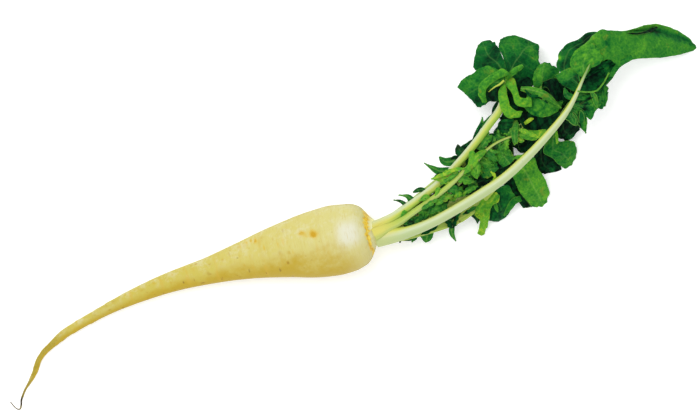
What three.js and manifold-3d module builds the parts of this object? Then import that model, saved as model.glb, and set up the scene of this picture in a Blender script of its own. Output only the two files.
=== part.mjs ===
// A kameido daikon radish as pulled and washed: a white tapering root that lies on its side, with its seven leaves on.
// Millimetres, +Z up. +X runs from the root tip to the leaf tips, and the origin is the middle of the flat spot that the
// root rests on.
import * as THREE from "three";
import { mergeVertices } from "three/addons/utils/BufferGeometryUtils.js";
import Module from "manifold-3d";

const wasm = await Module();
wasm.setup();

const UP = new THREE.Vector3(0, 0, 1);
const GAP = 0.35; // between pieces that lie against each other
const BLADE = 0.8; // thickness of a leaf blade
const WING = 1; // half width of the green strip along a stalk, which carries the side lobes
const NARROWEST = 0.5; // half width of a lobe at its tip

const ROOT_SIDES = 18;
const STALK_SIDES = 8;
const STALK_STEPS = 12;
const CHANNEL = 0.45; // how far the flat face of a stalk stands from its centre, as a share of its half height

const ROOT_COLOUR = 0xe6dca6;
const STALK_COLOUR = 0xdde7b8;
const BLADE_COLOUR = 0x3c8a2c;
const YOUNG_COLOUR = 0x5aa52e;
const LEAFLET = [0.4, 0.5, 0.8]; // outline of the small leaflets of a young leaf, as described with the leaves below

// The root: centre x, y, z and radius of each section, from the hair at the tip to the neck that carries the leaves.
const ROOT = [
  [-249.8, 2.1, 0.9, 0.35],
  [-248.4, -3.6, 0.9, 0.35],
  [-246.3, -5.7, 0.9, 0.45],
  [-244.1, -3.8, 1, 0.6],
  [-241.6, 0.2, 1.1, 0.65],
  [-236.3, 4.8, 1.2, 0.75],
  [-231.2, 7.9, 1.5, 1.1],
  [-226.2, 11, 1.9, 1.6],
  [-221.7, 14.8, 2.2, 1.9],
  [-217, 19.3, 2.4, 2],
  [-211.5, 22.2, 2.4, 2.1],
  [-205, 24.2, 2.7, 2.4],
  [-192, 27.3, 3.9, 3.2],
  [-175, 28.2, 5.6, 3.5],
  [-158, 28.4, 7.4, 4],
  [-142, 28, 9.1, 5],
  [-126, 26.7, 10.8, 6.1],
  [-110, 24.8, 12.5, 7.1],
  [-94.1, 22, 14.2, 8.2],
  [-78.1, 18.6, 15.9, 9.7],
  [-62, 15.4, 17.6, 12],
  [-46.9, 12.1, 19.2, 14.7],
  [-32.8, 8.7, 20.7, 17.7],
  [-19.8, 5.1, 22, 20.4],
  [-7.9, 1.5, 22.4, 23],
  [3, -1.9, 23.8, 24.6],
  [12.9, -4.8, 24.7, 25.4],
  [20.9, -7.2, 26, 24.8],
  [26.6, -8.7, 26.9, 23.9],
  [31.19, -10.1, 27.7, 22.4],
  [33.77, -10.89, 28.15, 20.7],
  [35.68, -11.48, 28.5, 18.8],
  [37.31, -11.97, 28.75, 16.3],
  [38.27, -12.27, 28.9, 14.1],
  [40.47, -12.94, 29.3, 11.1],
  [42, -13.5, 29.5, 9.2],
  [45, -14.5, 29.8, 7],
  [48.5, -15.6, 30.1, 4.6],
  [51, -16.4, 30.3, 1.6],
];
const SCAR_RING = 33; // the section where old leaf scars stand out in a ring
const SCAR_HEIGHT = 0.7;
const SCARS = 7;

// The leaves, all with their underside up. stalk: centre line, from the neck to the end of the midrib. wide: width at even
// steps along it. face: which way its channelled side turns, in degrees from straight up, positive to the right as seen
// from the root. A lobe leaves the stalk at a share of its length and is one of two kinds.
// rows: points from edge to edge, row by row to the tip, with base as its half width where it leaves the stalk.
// spine: points it runs through, with half its width to the left and right, and an outline: its width at the base as a
// share of the widest, where along it it is widest, and how drawn out its tip is. curl turns each side up by so many
// degrees at its edge. under is set where it first passes beneath the stalk.
// teeth: how many notches its edges have and how deep. ruffle: how high its edges wave, and how often.
const LEAVES = {
  front: {
    stalk: [
      [40.3, -19, 33.5],
      [48, -21.6, 35],
      [59.8, -24.3, 38],
      [79.9, -26.3, 42],
      [100, -26.1, 45.5],
      [120, -24.8, 48.5],
      [140, -22.6, 51],
      [160, -17.6, 53],
      [180, -11, 55],
      [200, -2.8, 57],
      [212, 4.5, 58],
      [223, 13, 57.5],
      [233, 20.5, 55.5],
    ],
    wide: [11, 9.6, 7.8, 7.4, 7.4, 7.2, 6.8, 6, 5, 3.6, 2.2, 1.4],
    thick: 0.8,
    face: -160,
    lobes: [
      {
        at: 0.93,
        base: 2,
        rows: [
          [[220.5, 25.5, 52], [221.3, 25, 52.5], [222.8, 23.5, 53], [229, 16.8, 53]],
          [[227, 32.3, 51], [227.8, 31.3, 52], [229, 30, 53], [238, 17.5, 52]],
          [[240, 35.2, 49.5], [240.3, 34.4, 50.5], [241, 33, 52], [247, 16.5, 49]],
          [[250.7, 36.2, 47], [250.7, 35.7, 47.5], [251, 35.4, 49.5], [252, 8.5, 44]],
          [[260.4, 32.6, 42], [260.3, 32, 42], [260.5, 31, 44], [259, 9.5, 40]],
          [[272.3, 29.3, 36], [271.8, 27.4, 34.5], [271, 25.5, 37], [268.3, 6.8, 34]],
          [[283.4, 26.6, 28.5], [281.8, 22.8, 25.5], [280.5, 19.5, 30], [276.8, 2.9, 27]],
          [[293.1, 22.8, 17.5], [291.5, 18, 15], [289.5, 12.5, 20.5], [286.5, -1.2, 18.5]],
          [[302.2, 13.9, 8], [300.8, 9.3, 9], [298.7, 4.5, 12.5], [296.5, -4, 11]],
          [[308.5, 4.2, 2.5], [307.5, 2.2, 3.5], [305.3, -0.5, 4.8], [303, -5.4, 4.2]],
          [[310.3, -3.6, 0.8], [310.3, -4.4, 0.8], [309.9, -5.3, 0.8], [307.9, -6.1, 0.8]],
        ],
        along: 12,
        across: 5,
      },
      {
        at: 0.89,
        base: 1.5,
        rows: [
          [[211.8, 26.8, 44], [216, 24.2, 46.5], [221, 21, 49]],
          [[215.3, 34.5, 41], [219.6, 31, 44], [226, 26, 47]],
          [[221.9, 39.9, 37], [227.1, 36, 41], [232, 30, 45.5]],
          [[234.4, 40.2, 37.5], [236.2, 36.4, 41], [239, 31, 45]],
          [[244, 40.9, 39.5], [245.3, 38, 42.5], [247, 33, 44.5]],
          [[251.2, 37, 42], [251.8, 35.5, 43], [252, 34, 43.5]],
        ],
        teeth: [6, 0.12],
      },
      {
        at: 0.9,
        base: 2,
        rows: [
          [[224, 23.5, 51.5], [220, 17.5, 52.5], [220, 8.5, 51.5]],
          [[215, 25.5, 49.5], [213.5, 18, 50.5], [214.5, 8.2, 49]],
          [[210, 25.2, 47.5], [209, 20.5, 48.5], [209.5, 16, 47.5]],
          [[208, 24.6, 46], [207.8, 22, 46.5], [208.4, 19.6, 46]],
        ],
        teeth: [3, 0.1],
      },
      {
        at: 0.87,
        base: 2,
        rows: [
          [[230, 17.5, 50.5], [228.5, 9, 45], [227.5, 1, 47]],
          [[240, 18, 48], [239, 9.5, 41], [238.3, 1.3, 44.5]],
          [[249, 17, 45], [248.5, 11, 40], [247.8, 6.3, 42]],
          [[254, 14, 42], [253.5, 11, 40.5], [252.5, 8.6, 41]],
        ],
        teeth: [4, 0.08],
        across: 4,
      },
      {
        at: 0.8,
        base: 2,
        rows: [
          [[219, 3, 49], [216, -4, 47], [211.5, -6.5, 48.5]],
          [[228.8, -0.6, 44.5], [223, -6.5, 42.5], [215, -14.7, 45]],
          [[230.2, -4.6, 41], [226.3, -9.1, 39], [218.6, -11, 41.5]],
        ],
        ruffle: [0.5, 2],
      },
      {
        at: 0.84,
        base: 2,
        rows: [
          [[229, 7, 42], [226, 1, 42], [222, -4, 43]],
          [[237.6, 1.3, 37.5], [233, -2.5, 37], [225.3, -11.6, 38]],
          [[236.2, -3.1, 35.5], [233.4, -7.7, 35], [229.4, -11.4, 35.5]],
        ],
      },
      { at: 0.75, spine: [[204, -7, 49.5], [205, -13.8, 43]], half: [4.4, 4.4], outline: [0.6, 0.4, 0.7], curl: [45, 45] },
      { at: 0.78, spine: [[210, -7, 47], [210, -14, 40], [208.8, -21.8, 34]], half: [4.6, 5.8], outline: [0.5, 0.35, 1], curl: [45, 45], along: 5 },
    ],
  },
  upper: {
    stalk: [
      [40.2, -9.6, 33.5],
      [48.2, -9.4, 33.5],
      [60.2, -9.5, 33.5],
      [80, -7.3, 34],
      [100, -3.9, 35],
      [120, 2.9, 36.5],
      [134.8, 8.8, 37.5],
      [150.4, 16.2, 38.5],
      [161, 21.3, 39],
      [167.6, 27.2, 39],
      [172.5, 34, 39],
      [177, 41, 38],
    ],
    wide: [12, 7.8, 6.8, 6.6, 6.8, 6.8, 6.8, 7, 7, 5.8, 3.6, 1.6],
    thick: 0.8,
    face: 120,
    lobes: [
      {
        at: 0.97,
        base: 2,
        rows: [
          [[169, 48, 35], [176.5, 51, 35.5], [181.5, 52, 34]],
          [[159.6, 55.8, 30], [173.5, 59.5, 31.5], [182.6, 60.8, 29.5]],
          [[164.7, 64.3, 25], [174, 66.5, 26], [182.5, 65.5, 24.5]],
          [[170.4, 69.9, 20.5], [174.7, 70.9, 20.5], [179.6, 69.3, 20]],
        ],
        teeth: [3, 0.07],
        along: 8,
        across: 4,
      },
      {
        at: 0.97,
        base: 2,
        rows: [
          [[181, 52, 32.5], [186, 46, 34], [183, 32, 33]],
          [[182.6, 62.8, 28.5], [192, 49, 30.5], [190, 25.5, 29]],
          [[186.6, 66.9, 22.5], [198.5, 52, 25], [200, 29, 27]],
          [[196.9, 65.1, 19.5], [203.5, 52, 21], [203.9, 39.4, 23.5]],
          [[205.3, 54.6, 16.5], [209.1, 50.1, 17.5], [207, 45.6, 20.5]],
        ],
        teeth: [4, 0.07],
        along: 9,
        across: 4,
      },
      {
        at: 0.94,
        base: 2.5,
        rows: [
          [[174, 48, 41.5], [168, 41, 42], [164.2, 29.6, 35.5]],
          [[170, 54, 40], [161, 42.5, 39.5], [156.4, 30, 33.5]],
          [[160, 55.3, 36], [154, 43, 35.5], [153.5, 29.5, 31]],
          [[149.5, 54.3, 31], [149.5, 43, 31], [151.2, 29.7, 28.5]],
          [[142.6, 51.5, 27], [146, 42.8, 27.5], [149.6, 30.2, 27]],
        ],
        teeth: [3, 0.06],
        along: 9,
        across: 4,
      },
      {
        at: 0.97,
        base: 1.5,
        rows: [
          [[180.3, 40.6, 43.5], [178.4, 43.9, 45], [177.1, 46.9, 44]],
          [[168.8, 41.8, 43.8], [168.5, 44.5, 45.3], [168.3, 47, 44.5]],
          [[161, 40, 43], [160, 42.8, 44], [158.4, 45.4, 43]],
          [[157.6, 35.8, 40], [155.5, 37.3, 41.3], [153.8, 39.4, 40]],
          [[156.8, 31.5, 36.5], [155.3, 31.3, 38], [154, 32.6, 36.5]],
        ],
        along: 8,
      },
      {
        at: 0.99,
        base: 1.5,
        rows: [
          [[183, 39, 43.5], [183.5, 41.5, 45.5], [183.5, 43.6, 43.5]],
          [[191, 40.5, 40.5], [191.3, 42.2, 41.5], [190.8, 43.5, 40]],
        ],
      },
      {
        at: 0.96,
        base: 1.5,
        rows: [
          [[167.2, 34.2, 44], [170.2, 34.6, 45], [172.9, 33.6, 44]],
          [[163.6, 27.2, 45], [167.3, 26.9, 46.5], [171.1, 27, 45]],
          [[162.4, 20.7, 44], [166.3, 20.9, 46], [169.9, 21.2, 44.5]],
          [[164, 14, 43.5], [168, 15, 44.5], [171.5, 16.3, 43.5]],
          [[171.7, 10.5, 40.5], [173.8, 11.8, 41], [175.9, 13.4, 41]],
        ],
        along: 8,
      },
      {
        at: 0.98,
        base: 1.5,
        rows: [
          [[174, 35, 43], [177.5, 36, 44], [181.5, 36.5, 42.5]],
          [[174.7, 27.5, 44.5], [177, 28, 45.3], [179.6, 28.5, 44.3]],
          [[173.3, 20.3, 44], [176.5, 21.3, 45], [179, 23, 44]],
          [[177, 15.8, 43], [180, 17.5, 43.7], [183, 20.5, 43]],
          [[183, 12.8, 41], [185, 17, 41.5], [186.3, 21.6, 41.5]],
        ],
        along: 8,
      },
      { at: 0.2, under: true, spine: [[68.4, -2.5, 30.5], [64.4, 0.6, 30]], half: [1.7, 1.7], outline: [0.8, 0.3, 1] },
      { at: 0.255, under: true, spine: [[74.7, -2, 31], [69.2, 2.2, 30.5]], half: [3, 3], outline: [0.9, 0.3, 1.5] },
      { at: 0.31, under: true, spine: [[85.3, -1.9, 31], [79.3, -1, 30.5]], half: [1.9, 1.9], outline: [0.6, 0.6, 0.5] },
      { at: 0.41, under: true, spine: [[103.3, 3.6, 31.5], [99.7, 8.3, 31.5], [96.3, 13.8, 31]], half: [3.4, 3], outline: [0.8, 0.3, 1.1], along: 5 },
      { at: 0.46, under: true, spine: [[110.8, 6.9, 32.5], [107.9, 12.5, 31]], half: [3.8, 3.8], outline: [0.8, 0.3, 0.6], along: 5 },
      { at: 0.54, under: true, spine: [[123.7, 8.6, 33.5], [123.5, 14.3, 33]], half: [5.4, 4.4], outline: [0.8, 0.4, 0.8] },
      { at: 0.68, under: true, spine: [[146, 17.4, 35], [148.5, 23.3, 35]], half: [3.4, 3.4], outline: [0.8, 0.3, 1] },
      { at: 0.61, spine: [[136.5, 5, 36], [143, 7.5, 35.5]], half: [3.6, 3.6], outline: [0.5, 0.5, 0.9], along: 5 },
    ],
  },
  middle: {
    stalk: [
      [40, -10, 27.5],
      [48, -10.3, 26],
      [60, -9.8, 22],
      [80, -6.6, 18.5],
      [100, -2.5, 18],
      [120, 0.5, 19],
      [140, 1.5, 21],
      [158, 2.5, 23.5],
      [172, 4.8, 26],
      [182, 9.5, 29],
      [190, 16.5, 31],
      [197, 23.5, 31],
    ],
    wide: [9, 7, 6, 5.6, 5.2, 4.8, 4.4, 3.8, 3.2, 2.6, 1.6],
    thick: 0.8,
    face: 180,
    lobes: [
      {
        at: 0.97,
        base: 2,
        rows: [
          [[191.5, 26.5, 31], [199, 26, 32], [208, 23, 30]],
          [[194.7, 32, 31], [202, 31.5, 32.5], [213.5, 26.3, 29.5]],
          [[200.5, 36.5, 28.5], [205, 35, 29.5], [211.8, 30.5, 27.5]],
          [[204.2, 37.2, 25.5], [206.7, 36.6, 26], [209.4, 34.2, 25.5]],
        ],
        teeth: [3, 0.08],
        along: 7,
      },
      {
        at: 0.9,
        base: 2.5,
        rows: [
          [[184, 27.5, 32.5], [185.5, 23.5, 34], [179.1, 16, 33]],
          [[190, 25.5, 35], [188.5, 19.5, 36.5], [179.8, 9.8, 34]],
          [[196.5, 19.5, 35.5], [192.5, 14, 37], [183.6, 4.8, 34]],
          [[200.7, 12, 34.5], [195.9, 7.4, 35.5], [190.5, 1.6, 33]],
          [[204.7, 6, 32], [201.6, 3.2, 33], [197.1, 1.6, 32]],
        ],
        ruffle: [0.5, 2],
        along: 8,
        across: 4,
      },
      {
        at: 0.68,
        base: 2.5,
        rows: [
          [[147.5, 3.5, 19], [157, 5.5, 20], [167, 6.5, 21]],
          [[150, 8, 19.5], [158.5, 11, 21], [168, 12, 22]],
          [[153.5, 9.8, 18], [160, 14.5, 19], [167, 17, 20]],
        ],
        ruffle: [0.5, 2],
      },
    ],
  },
  lower: {
    stalk: [
      [40, -19, 28],
      [48, -21.6, 26],
      [60, -25.7, 23.5],
      [80, -30.3, 21],
      [97.8, -33.2, 19.5],
      [108.9, -32.6, 19.5],
      [119.7, -29.9, 20],
      [132, -25.5, 21],
      [145, -21.5, 22],
      [157, -17.5, 23.5],
    ],
    wide: [9, 7.6, 7.2, 7.2, 6.6, 6, 5.2, 4, 2.4],
    thick: 0.75,
    face: 170,
    lobes: [
      {
        at: 0.95,
        base: 3,
        rows: [
          [[148, -23, 20], [157.5, -24, 21.5], [168, -19, 20.5]],
          [[147.3, -31, 18.5], [158, -32, 20.5], [168, -29.8, 18]],
          [[148, -41, 12], [158.5, -41.5, 14.5], [168.9, -39.8, 11.5]],
          [[150.5, -49, 5.5], [158.5, -49.5, 7], [167.2, -47.9, 5]],
          [[153.7, -53.1, 0.9], [158.4, -54.3, 1.3], [163, -52.4, 0.9]],
        ],
        teeth: [3, 0.05],
        along: 9,
        across: 4,
      },
      {
        at: 0.73,
        base: 2.5,
        rows: [
          [[121, -31, 16.5], [131, -31, 17.5], [142, -28, 17]],
          [[119.5, -39, 12.5], [130.5, -38.5, 14.5], [143.5, -35, 14]],
          [[118.4, -45.1, 8.5], [130, -44, 10.5], [143.9, -41.6, 10]],
          [[124.4, -49.3, 2], [131.2, -48.7, 3.5], [137.8, -44.6, 6]],
        ],
        ruffle: [0.8, 2],
        along: 7,
      },
      {
        at: 0.88,
        base: 1.5,
        rows: [
          [[140, -27, 15.5], [144.5, -27, 16.5], [149, -27, 16]],
          [[141.5, -34, 12], [144.8, -33, 13], [148.8, -33, 12.5]],
          [[143.7, -43, 6], [146, -42, 7], [149, -41, 7]],
          [[145, -49, 0.8], [147.5, -49.8, 1.2], [151.4, -51.3, 1.2]],
        ],
      },
      {
        at: 0.64,
        base: 2.5,
        rows: [
          [[110, -34.5, 16], [118, -35, 17.5], [126, -32, 17]],
          [[112.7, -41.2, 15], [116.5, -41, 16.5], [121.3, -41.3, 15]],
          [[110, -45.7, 9], [113, -47, 10], [116.2, -47.8, 8.5]],
          [[106.8, -49.3, 3.5], [108.6, -52.1, 3.8], [111.3, -52.4, 3.5]],
        ],
        along: 7,
      },
      { at: 0.19, spine: [[64.9, -29.4, 18.5], [62, -32.4, 15]], half: [3.4, 3.4], outline: [0.8, 0.3, 1.3] },
      { at: 0.3, spine: [[74.5, -32.3, 15.5], [70.9, -37.2, 10]], half: [5, 5.6], outline: [0.9, 0.35, 0.6], along: 6, across: 4 },
      { at: 0.44, spine: [[93.2, -35.9, 15], [90.5, -40.6, 10], [90.5, -46.9, 4.5]], half: [2.2, 2.2], outline: [0.6, 0.5, 1], along: 6 },
      { at: 0.48, spine: [[96.2, -34.7, 15.5], [93.7, -36.6, 13.5]], half: [2.4, 2.4], outline: [0.6, 0.5, 0.6] },
      { at: 0.56, spine: [[111.9, -38.8, 13], [110.5, -42.7, 8]], half: [2.4, 2.4], outline: [0.8, 0.4, 1] },
    ],
  },
  back: {
    stalk: [
      [40, -13.5, 23.5],
      [48, -15, 20],
      [60, -17.5, 15],
      [80, -20.5, 10.5],
      [110, -22.5, 8.5],
      [140, -21.5, 9],
      [165, -15.5, 13],
      [185, -9, 17],
      [200, -2, 20],
      [210, 3.5, 21],
    ],
    wide: [9, 7, 6.2, 6, 5.6, 5, 4.2, 3.4, 2.4, 1.6],
    thick: 0.8,
    face: 180,
    lobes: [
      {
        at: 0.83,
        base: 2.5,
        rows: [
          [[176.5, -19, 14.5], [184, -20, 17], [190, -17, 15]],
          [[179.5, -26, 11.5], [187.5, -26.5, 15], [196.8, -20.5, 12]],
          [[182, -32.7, 6], [189.5, -31, 10], [200.5, -24.8, 8.5]],
          [[184.3, -37.3, 1.5], [190.6, -36.1, 4.5], [198.7, -31.3, 3.5]],
          [[187.1, -38.3, 0.8], [190.6, -37.7, 1], [193.9, -36.2, 1]],
        ],
        teeth: [3, 0.06],
        along: 8,
        across: 4,
      },
      {
        at: 0.74,
        base: 2.5,
        rows: [
          [[165.5, -24, 6.5], [173, -24, 8], [181, -23, 8]],
          [[166.5, -31, 2.5], [174, -32, 3.5], [183.5, -33.2, 3.5]],
          [[170.3, -34, 0.9], [176.1, -36.3, 0.9], [183, -37.5, 0.9]],
        ],
        ruffle: [0.4, 2],
      },
      {
        at: 0.89,
        base: 2,
        rows: [
          [[190.5, -14, 14], [197, -12.5, 15.5], [208.9, -11.2, 14]],
          [[193.5, -18.2, 10.5], [198.8, -16.8, 11.5], [210, -15.8, 11]],
          [[194.1, -19.9, 7], [199.1, -21.2, 7.2], [205.9, -18.4, 8]],
        ],
      },
      {
        at: 0.25,
        base: 3,
        rows: [
          [[69, -14, 7], [78, -13, 8], [89.5, -13, 7]],
          [[70, -8, 5], [79, -7.5, 6], [90.5, -6, 5]],
        ],
        ruffle: [0.6, 2],
      },
      {
        at: 0.42,
        base: 3,
        rows: [
          [[92, -14, 5], [102, -13, 6.5], [121.5, -21.5, 4]],
          [[93, -3, 4], [103, -2, 5], [115.5, -3, 3]],
        ],
        ruffle: [0.6, 2],
      },
      {
        at: 0.56,
        base: 3,
        rows: [
          [[117, -14, 5.5], [127.1, -17, 7], [137.8, -17, 6]],
          [[117, -3, 4], [127, -1, 5], [139, -2, 4]],
        ],
        ruffle: [0.6, 2],
      },
      {
        at: 0.6,
        base: 3,
        rows: [
          [[141.1, -18.4, 7], [149, -12, 8], [156, -14, 7]],
          [[142, -3, 5], [149, -2, 6], [158.8, -7.7, 5]],
          [[144, 5, 3], [150, 7, 4], [161.7, -0.1, 3]],
        ],
        ruffle: [0.6, 2],
      },
      {
        at: 0.75,
        base: 3,
        rows: [
          [[161.5, -12.5, 8], [175, -9.5, 10.5], [188, -8, 12]],
          [[163, 4, 7.5], [175, 5, 8.5], [189, 5, 9]],
          [[165, 16, 6], [177, 18, 7], [189, 17, 7]],
          [[170, 27, 4], [180, 30, 4], [190, 28, 5]],
        ],
        ruffle: [0.6, 2],
      },
      {
        at: 0.93,
        base: 3,
        rows: [
          [[189, -2, 14], [199, -1, 16], [210, 2, 16]],
          [[190, 8, 10.5], [201, 9, 12], [216, 9, 14]],
          [[194, 16, 7], [204, 18.5, 8], [216, 18, 10]],
          [[199, 23.5, 5], [204.5, 25.5, 5], [210, 24.5, 6]],
        ],
        ruffle: [0.6, 2],
      },
    ],
  },
  young_outer: {
    stalk: [
      [40, -14.5, 38],
      [48, -14.9, 38],
      [60, -15.3, 38.5],
      [75, -13.4, 40],
      [90, -11.5, 41],
      [105, -8.7, 42],
      [118, -4.8, 43],
      [125, -2, 43.5],
    ],
    wide: [10, 8, 5.6, 4.4, 4, 3.8, 3.4, 2.8, 1.6],
    thick: 0.8,
    face: 180,
    young: true,
    lobes: [
      {
        at: 0.95,
        base: 1.5,
        rows: [
          [[130, 5.8, 42.5], [126.5, 0, 45], [122, -6, 43]],
          [[131.5, -1, 43.5], [127.5, -6.5, 44.5], [122.3, -10.5, 42]],
          [[129, -9.5, 41.5], [126.5, -12, 42], [124, -14.2, 41]],
        ],
        ruffle: [0.6, 2],
      },
      { at: 0.72, spine: [[103.5, -4, 41.5], [100, -1, 41], [95.3, 1.4, 40]], half: [2.6, 2.6], outline: [0.7, 0.4, 1.1], along: 5 },
      { at: 0.82, spine: [[112, -3.5, 42.5], [115.5, -1, 42.5]], half: [3, 3], outline: [0.6, 0.4, 0.8] },
      { at: 0.5, spine: [[86, -8.5, 41.5], [80, -8.5, 40.5]], half: [2.4, 2.4], outline: [0.6, 0.4, 0.9] },
    ],
    leaflets: { from: 0.32, to: 0.92, count: 7, length: [9, 12], half: 3.6, lean: 60, sink: [3, 6], rise: 2, seed: 3, sides: [1] },
  },
  young_inner: {
    stalk: [
      [44, -16.5, 33],
      [55, -18, 31.5],
      [70, -18.5, 31],
      [85, -17, 31],
      [100, -14, 31.5],
      [118, -8.3, 33],
      [131, -2.5, 35],
      [140, 1, 36],
      [150, 2.2, 36],
      [160, 1.2, 35],
      [167, -0.8, 34],
    ],
    wide: [4.4, 4.2, 3.8, 3.4, 3, 2.4, 1.8, 1.6, 1.4],
    thick: 0.8,
    face: 180,
    young: true,
    lobes: [
      {
        at: 0.97,
        base: 1.2,
        rows: [
          [[170.5, 0, 34.5], [170, -2.5, 36], [168, -5, 34.5]],
          [[176, -2.5, 34], [176, -5.5, 35.5], [173, -8.5, 33.5]],
          [[184.5, -6, 32], [183.5, -7.8, 32.5], [180.5, -9.4, 31.5]],
        ],
        ruffle: [0.3, 2],
      },
      {
        at: 0.75,
        base: 2,
        rows: [
          [[139, -4, 31], [133, -6, 32.5], [127, -8.5, 31]],
          [[143, -9, 29.5], [136, -11.5, 31], [128, -14, 29.5]],
          [[141, -14, 27.5], [136.5, -16.5, 28.5], [131, -17.5, 27.5]],
        ],
        ruffle: [1.5, 3],
        across: 4,
      },
      {
        at: 0.88,
        base: 2,
        rows: [
          [[155, -3.5, 31.5], [149.5, -5, 33], [144, -4.5, 31.5]],
          [[155.5, -8.5, 29.5], [149.5, -10.5, 31], [143.5, -11, 29.5]],
          [[156, -13.5, 27.5], [150.5, -15.5, 28], [145, -15.5, 27.5]],
        ],
        ruffle: [1.5, 3],
        across: 4,
      },
      { at: 0.96, spine: [[166, 4, 33.5], [169.3, 9.7, 32.5]], half: [2.8, 2.8], outline: [0.5, 0.45, 0.8], curl: [25, 25], along: 6, across: 4 },
      { at: 0.86, spine: [[146, 5.5, 32.5], [141, 8, 31]], half: [3.4, 3.4], outline: [0.5, 0.45, 0.8], ruffle: [1, 2], along: 5 },
      { at: 0.93, spine: [[160, 5, 33], [155, 7, 32]], half: [3, 3], outline: [0.5, 0.45, 0.8], ruffle: [1, 2], along: 5 },
      { at: 0.95, spine: [[165, -4, 32], [167, -6, 31]], half: [2.2, 2.2], outline: [0.6, 0.4, 0.8] },
    ],
    leaflets: { from: 0.2, to: 0.72, count: 8, length: [10, 13], half: 4, lean: 68, sink: [1, 5], rise: 2, seed: 11, sides: [1] },
  },
};

// A repeatable stream of numbers from 0 to 1.
function randomFrom(seed) {
  let state = seed;
  return () => {
    state = (state * 16807) % 2147483647;
    return state / 2147483647;
  };
}

function degrees(angle) {
  return (angle * Math.PI) / 180;
}

function mix(a, b, share) {
  return a + (b - a) * share;
}

// A value between the entries of a list, at a share of its length.
function along(list, share) {
  const place = Math.min(share, 0.999999) * (list.length - 1);
  const low = Math.floor(place);
  return mix(list[low], list[low + 1], place - low);
}

function curveThrough(points) {
  const vectors = points.map((p) => (p.isVector3 ? p : new THREE.Vector3(...p)));
  return new THREE.CatmullRomCurve3(vectors, false, "catmullrom", 0.5);
}

// Level sideways and upright directions of a curve at a share of it.
function frameAt(curve, share) {
  const tangent = curve.getTangent(share);
  const side = new THREE.Vector3().crossVectors(tangent, UP).normalize();
  const normal = new THREE.Vector3().crossVectors(side, tangent);
  return { centre: curve.getPoint(share), tangent, side, normal };
}

function closedGeometry(points, faces) {
  const geometry = new THREE.BufferGeometry();
  geometry.setAttribute("position", new THREE.Float32BufferAttribute(points.flatMap((p) => p.toArray()), 3));
  let volume = 0;
  for (const [a, b, c] of faces) {
    volume += points[a].dot(new THREE.Vector3().crossVectors(points[b], points[c]));
  }
  geometry.setIndex(faces.flatMap(([a, b, c]) => (volume < 0 ? [a, c, b] : [a, b, c])));
  return geometry;
}

// Rings of equal count, one after another, closed at both ends.
function loft(rings) {
  const sides = rings[0].length;
  const points = rings.flat();
  const faces = [];
  for (let i = 0; i + 1 < rings.length; i++) {
    for (let j = 0; j < sides; j++) {
      const a = i * sides + j;
      const b = i * sides + ((j + 1) % sides);
      faces.push([a, b, b + sides], [a, b + sides, a + sides]);
    }
  }
  for (const [i, last] of [[0, false], [rings.length - 1, true]]) {
    const middle = rings[i].reduce((sum, p) => sum.add(p), new THREE.Vector3()).divideScalar(sides);
    points.push(middle);
    for (let j = 0; j < sides; j++) {
      const a = i * sides + j;
      const b = i * sides + ((j + 1) % sides);
      faces.push(last ? [a, b, points.length - 1] : [b, a, points.length - 1]);
    }
  }
  return closedGeometry(points, faces);
}

function solidOf(geometry) {
  const bare = new THREE.BufferGeometry().setAttribute("position", geometry.getAttribute("position"));
  bare.setIndex(geometry.getIndex());
  const merged = mergeVertices(bare, 1e-4);
  return new wasm.Manifold(
    new wasm.Mesh({
      numProp: 3,
      vertProperties: merged.attributes.position.array,
      triVerts: new Uint32Array(merged.index.array),
    }),
  );
}

// The largest body of a solid: a loose scrap is dropped.
function largest(solid) {
  return solid.decompose().sort((a, b) => b.volume() - a.volume())[0];
}

function meshOf(name, solid, colour) {
  const { vertProperties, triVerts } = solid.getMesh();
  const geometry = new THREE.BufferGeometry();
  geometry.setAttribute("position", new THREE.BufferAttribute(new Float32Array(vertProperties), 3));
  geometry.setIndex(new THREE.BufferAttribute(new Uint32Array(triVerts), 1));
  geometry.computeVertexNormals();
  const mesh = new THREE.Mesh(geometry, new THREE.MeshStandardMaterial({ color: colour, roughness: 0.55, metalness: 0 }));
  mesh.name = name;
  return mesh;
}

// The root with its neck. grow makes it larger all round, to cut room for what grows from it.
function rootSolid(grow) {
  const centres = curveThrough(ROOT.map(([x, y, z]) => [x, y, z]));
  const rings = ROOT.map(([, , , radius], i) => {
    const { centre, side, normal } = frameAt(centres, i / (ROOT.length - 1));
    return Array.from({ length: ROOT_SIDES }, (_, j) => {
      const turn = (2 * Math.PI * (j + 0.5)) / ROOT_SIDES - Math.PI / 2;
      const scar = i === SCAR_RING ? SCAR_HEIGHT * Math.cos(SCARS * turn) : 0;
      const reach = radius + scar + grow;
      const point = centre.clone();
      point.addScaledVector(side, reach * Math.cos(turn)).addScaledVector(normal, reach * Math.sin(turn));
      point.z = Math.max(point.z, -grow);
      return point;
    });
  });
  return solidOf(loft(rings));
}

// The stalk's own frame: face points out of its channelled side, and lateral runs across that side.
function stalkFrame(leaf, curve, share) {
  const { centre, tangent, side, normal } = frameAt(curve, share);
  const turn = degrees(leaf.face);
  const face = normal.clone().multiplyScalar(Math.cos(turn)).addScaledVector(side, Math.sin(turn));
  const lateral = new THREE.Vector3().crossVectors(tangent, face).normalize();
  const half = along(leaf.wide, share) / 2;
  return { centre, tangent, face, lateral, half, deep: half * leaf.thick };
}

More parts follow.
